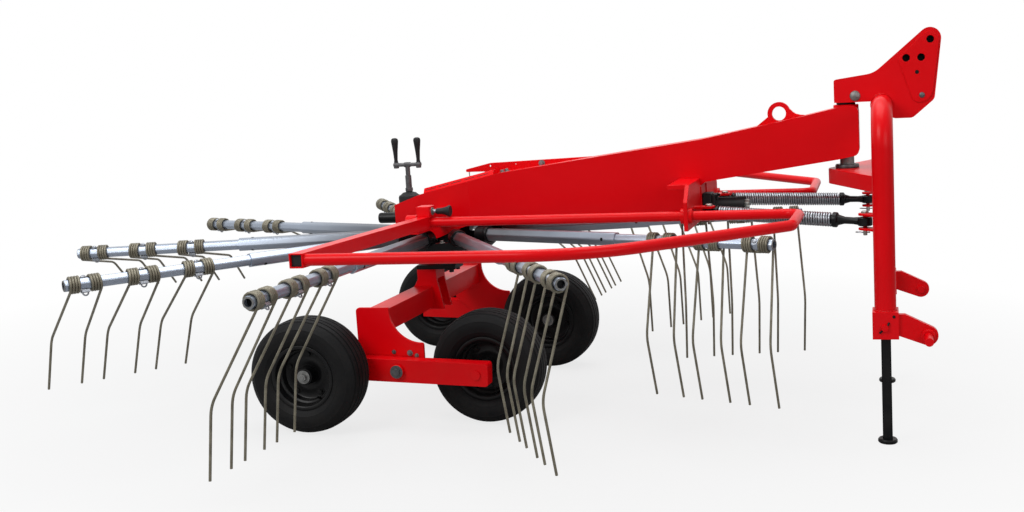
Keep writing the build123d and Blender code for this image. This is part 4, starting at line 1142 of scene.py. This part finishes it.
def make_stands():
    """Square stands of drilled wall, cut level at the ground, on round feet."""
    face = [
        (STAND_LOW, -STAND_HALF), (STAND_TOP, -STAND_HALF), (STAND_TOP, STAND_HALF), (STAND_LOW, STAND_HALF),
    ]
    holes = [(HOLE_FIRST + HOLE_STEP * n, 0.0, 0.0062) for n in range(HOLE_COUNT)]
    foot = [(0.0, 0.0), (0.029, 0.0), (0.032, 0.003), (0.032, 0.010), (0.029, 0.014), (0.0, 0.014)]
    stand_up = Matrix.Rotation(-math.pi / 2, 4, "Y")
    outward = Matrix.Translation((STAND_HALF - STAND_WALL / 2, 0, 0))
    for name, side in SIDES.items():
        y = side * LEG_Y
        leg = bmesh.new()
        for turn in range(4):
            wall = cut_plate(face, holes if turn % 2 == 0 else [], STAND_WALL, 0.0008)
            spin = Matrix.Rotation(turn * math.pi / 2, 4, "Z")
            stamp(leg, wall, Matrix.Translation((LEG_X, y, 0)) @ spin @ outward @ stand_up)
        bmesh.ops.transform(leg, matrix=PARKED, verts=leg.verts)
        bmesh.ops.bisect_plane(
            leg,
            geom=leg.verts[:] + leg.edges[:] + leg.faces[:],
            plane_co=(0, 0, STAND_CUT),
            plane_no=(0, 0, 1),
            clear_inner=True,
        )
        ground = PARKED @ Vector((LEG_X, y, STAND_LOW - 0.0005))
        stamp(leg, turned(foot, 36), Matrix.Translation((ground.x, y, 0)))
        piece(f"perforated_stand_{name}", leg, "black_paint", f"stand_{name}", [f"stand_{name}"], None)


# Centring struts

STRUT_REAR = (1.065, 0.215, 0.690)
STRUT_EYE = (1.600, 0.335, 0.662)
# From the front eye back to the collar's rear face
STRUT_COLLAR = 0.108
SPRING_TURNS = 46
SPRING_RADIUS = 0.0213
SPRING_WIRE = 0.0036
PIN_CLIP = (
    (0.016, 0.0), (-0.010, 0.0), (-0.020, 0.004), (-0.030, 0.010), (-0.032, 0.018), (-0.024, 0.022),
    (-0.016, 0.016), (-0.008, 0.0085), (0.0, 0.0105), (0.008, 0.0085), (0.014, 0.012),
)


def make_strut_sleeve(name, rear, along):
    """Rear eye and flange of a strut, with the tube inside its spring."""
    sleeve = [
        (0.0, 0.012), (0.0125, 0.013), (0.0128, 0.0225), (0.0185, 0.0245), (0.0240, 0.0275),
        (0.0250, 0.030), (0.0250, 0.034), (0.0240, 0.036), (0.0166, 0.036), (0.0166, 0.316),
        (0.0158, 0.316), (0.0158, 0.130), (0.0, 0.130),
    ]
    eyelet = [
        (0.0084, -0.014), (0.017, -0.014), (0.019, -0.012), (0.019, 0.012), (0.017, 0.014), (0.0084, 0.014),
    ]
    shape = bmesh.new()
    stamp(shape, turned(sleeve, 32), aim(rear, along))
    stamp(shape, turned(eyelet, 32, True), aim(rear, (0, 0, 1)))
    piece(f"strut_sleeve_{name}", shape, "black_paint", f"strut_{name}", [f"strut_tube_{name}"])


def make_strut_rod(name, rear, eye, along, back):
    """Rod of a strut with its collar, neck and front eye."""
    rod = [
        (0.0, 0.235), (0.0142, 0.235), (0.0152, 0.237), (0.0152, back), (0.0245, back),
        (0.0255, back + 0.002), (0.0255, back + 0.013), (0.0245, back + 0.015), (0.0180, back + 0.019),
        (0.0120, back + 0.040), (0.0115, back + 0.070), (0.0135, back + 0.086), (0.0, back + 0.092),
    ]
    eyelet = [
        (0.0152, -0.014), (0.0215, -0.014), (0.0238, -0.0115), (0.0238, 0.0115), (0.0215, 0.014),
        (0.0152, 0.014),
    ]
    shape = bmesh.new()
    stamp(shape, turned(rod, 32), aim(rear, along))
    stamp(shape, turned(eyelet, 36, True), aim(eye, (0, 0, 1)))
    node = f"strut_rod_{name}"
    piece(f"{node}_finished", shape, "black_paint", node, [node])


def make_centring_spring(name, start, end):
    """Spring that stretches between the sleeve's flange and the rod's collar."""
    place = aim(start, end - start)
    run = (end - start).length
    count = SPRING_TURNS * 12
    coil = []
    for step in range(count + 1):
        share = step / count
        turn = 2 * math.pi * SPRING_TURNS * share
        x, y = SPRING_RADIUS * math.cos(turn), SPRING_RADIUS * math.sin(turn)
        coil.append(place @ Vector((x, y, 0.003 + (run - 0.006) * share)))
    shape = wire(coil, SPRING_WIRE, smooth=False, sides=1)
    node = f"strut_spring_{name}"
    spring = piece(f"centring_spring_{name}", shape, "spring_zinc", None, [node], angle=60)
    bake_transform(spring)


def make_strut_pin(body, spot, reach):
    """Pin through a strut's eye: its head above, its end below and the clip through that."""
    up = Vector((0, 0, 1))
    head = turned([(0.0, 0.007), (0.010, 0.007), (0.0125, 0.005), (0.0125, 0.0), (0.0, 0.0)], 24)
    fit(body, "pin_steel", head, aim(spot + up * reach, up))
    under = spot - up * reach
    fit(body, "pin_steel", bar(under - up * 0.018, under, 0.0068, 20, 0.0015))
    clip = [(spot.x + x, spot.y + y, under.z - 0.009) for x, y in PIN_CLIP]
    fit(body, "spring_zinc", wire(clip, 0.0015))


def make_struts():
    for name, side in SIDES.items():
        rear, eye = [Vector((x, side * y, z)) for x, y, z in (STRUT_REAR, STRUT_EYE)]
        along = (eye - rear).normalized()
        back = (eye - rear).length - STRUT_COLLAR
        make_strut_sleeve(name, rear, along)
        make_strut_rod(name, rear, eye, along, back)
        make_centring_spring(name, rear + along * 0.0375, rear + along * (back - 0.0015))
        make_strut_pin("frame", rear, 0.0235)
        make_strut_pin("headstock", eye, 0.028)


# The black pieces also carry the black discs, sheets and washers that are painted shade.
SMALL_WORDS = {
    "pin_steel": "fasteners",
    "weld_paint": "weld_beads",
    "red_paint": "brackets",
    "spring_zinc": "clips",
    "black_paint": "black_fittings_and_painted_shade",
    "black_plastic": "mouldings_and_painted_shade",
    "galvanised": "stowed_tube",
    "clamp_zinc": "tine_saddles",
    "dull_steel": "dull_fasteners",
    "crank_iron": "dark_fasteners",
}


def make_small_parts():
    for (body, look), shape in small_parts.items():
        piece(f"{body}_{SMALL_WORDS[look]}", shape, look, body)


# Stage, light and camera

CAMERA_PLACE = (1.4541, -4.2969, 1.2468)
CAMERA_YAW = 0.222
CAMERA_PITCH = 0.1463
CAMERA_ROLL = -0.0078


def make_stage():
    floor = bmesh.new()
    bmesh.ops.create_grid(floor, x_segments=8, y_segments=8, size=30.0)
    bmesh.ops.translate(floor, vec=(0, 0, -0.0005), verts=floor.verts)
    mesh = bpy.data.meshes.new("floor")
    floor.to_mesh(mesh)
    floor.free()
    mesh.materials.append(FINISH["floor"])
    made = placed("floor", mesh)


def soft_lamp(name, place, target, size, power):
    lamp = bpy.data.lights.new(name, "AREA")
    lamp.shape = "RECTANGLE"
    lamp.size, lamp.size_y = size
    lamp.energy = power
    placed(name, lamp).matrix_world = aim(place, Vector(place) - Vector(target))


def make_light():
    soft_lamp("key", (-2.6, -4.6, 4.6), (0, 0, 0.6), (3.2, 2.4), 215)
    soft_lamp("fill", (4.2, -4.0, 2.6), (0.4, 0, 0.7), (2.6, 2.2), 48)
    soft_lamp("top", (0.2, 0.4, 5.2), (0, 0, 0.5), (4.5, 3.5), 190)
    world = bpy.data.worlds.new("studio")
    bpy.context.scene.world = world
    world.use_nodes = True
    world.node_tree.nodes.clear()
    shade = Shade(world.node_tree)
    kinds = ("Is Camera Ray", "Is Glossy Ray", "Is Transmission Ray")
    camera, glossy, through = [shade.node("ShaderNodeLightPath", output=kind) for kind in kinds]
    seen = shade.maths("MAXIMUM", shade.maths("MAXIMUM", camera, glossy), through)
    plain = shade.node("ShaderNodeBackground", inputs={"Color": (0.93, 0.96, 1, 1), "Strength": 0.34})
    white = shade.node("ShaderNodeBackground", inputs={"Color": (1, 1, 1, 1), "Strength": 1.0})
    both = shade.node("ShaderNodeMixShader", inputs={0: seen, 1: plain, 2: white})
    shade.node("ShaderNodeOutputWorld", inputs={"Surface": both})


def make_camera():
    level = Vector((math.cos(CAMERA_YAW), math.sin(CAMERA_YAW), 0))
    ahead = Vector((-math.sin(CAMERA_YAW), math.cos(CAMERA_YAW), 0))
    forward = ahead * math.cos(CAMERA_PITCH) - Vector((0, 0, math.sin(CAMERA_PITCH)))
    above = level.cross(forward)
    right = level * math.cos(CAMERA_ROLL) + above * math.sin(CAMERA_ROLL)
    up = above * math.cos(CAMERA_ROLL) - level * math.sin(CAMERA_ROLL)
    lens = bpy.data.cameras.new("camera")
    lens.sensor_width = 36.0
    lens.lens = 41.634
    lens.shift_x = -0.1013
    lens.shift_y = -0.0155
    lens.clip_end = 100.0
    made = placed("camera", lens)
    axes = Matrix((right, up, -forward)).transposed().to_4x4()
    made.matrix_world = Matrix.Translation(CAMERA_PLACE) @ axes
    bpy.context.scene.camera = made


make_rotor()
make_wheels()
make_beam()
make_undercarriage()
make_drive()
make_crank()
make_tail()
make_guards()
make_headstock()
make_stands()
make_struts()
make_small_parts()
make_axle_nuts()
make_stage()
make_light()
make_camera()
bpy.context.scene.view_settings.view_transform = "Standard"
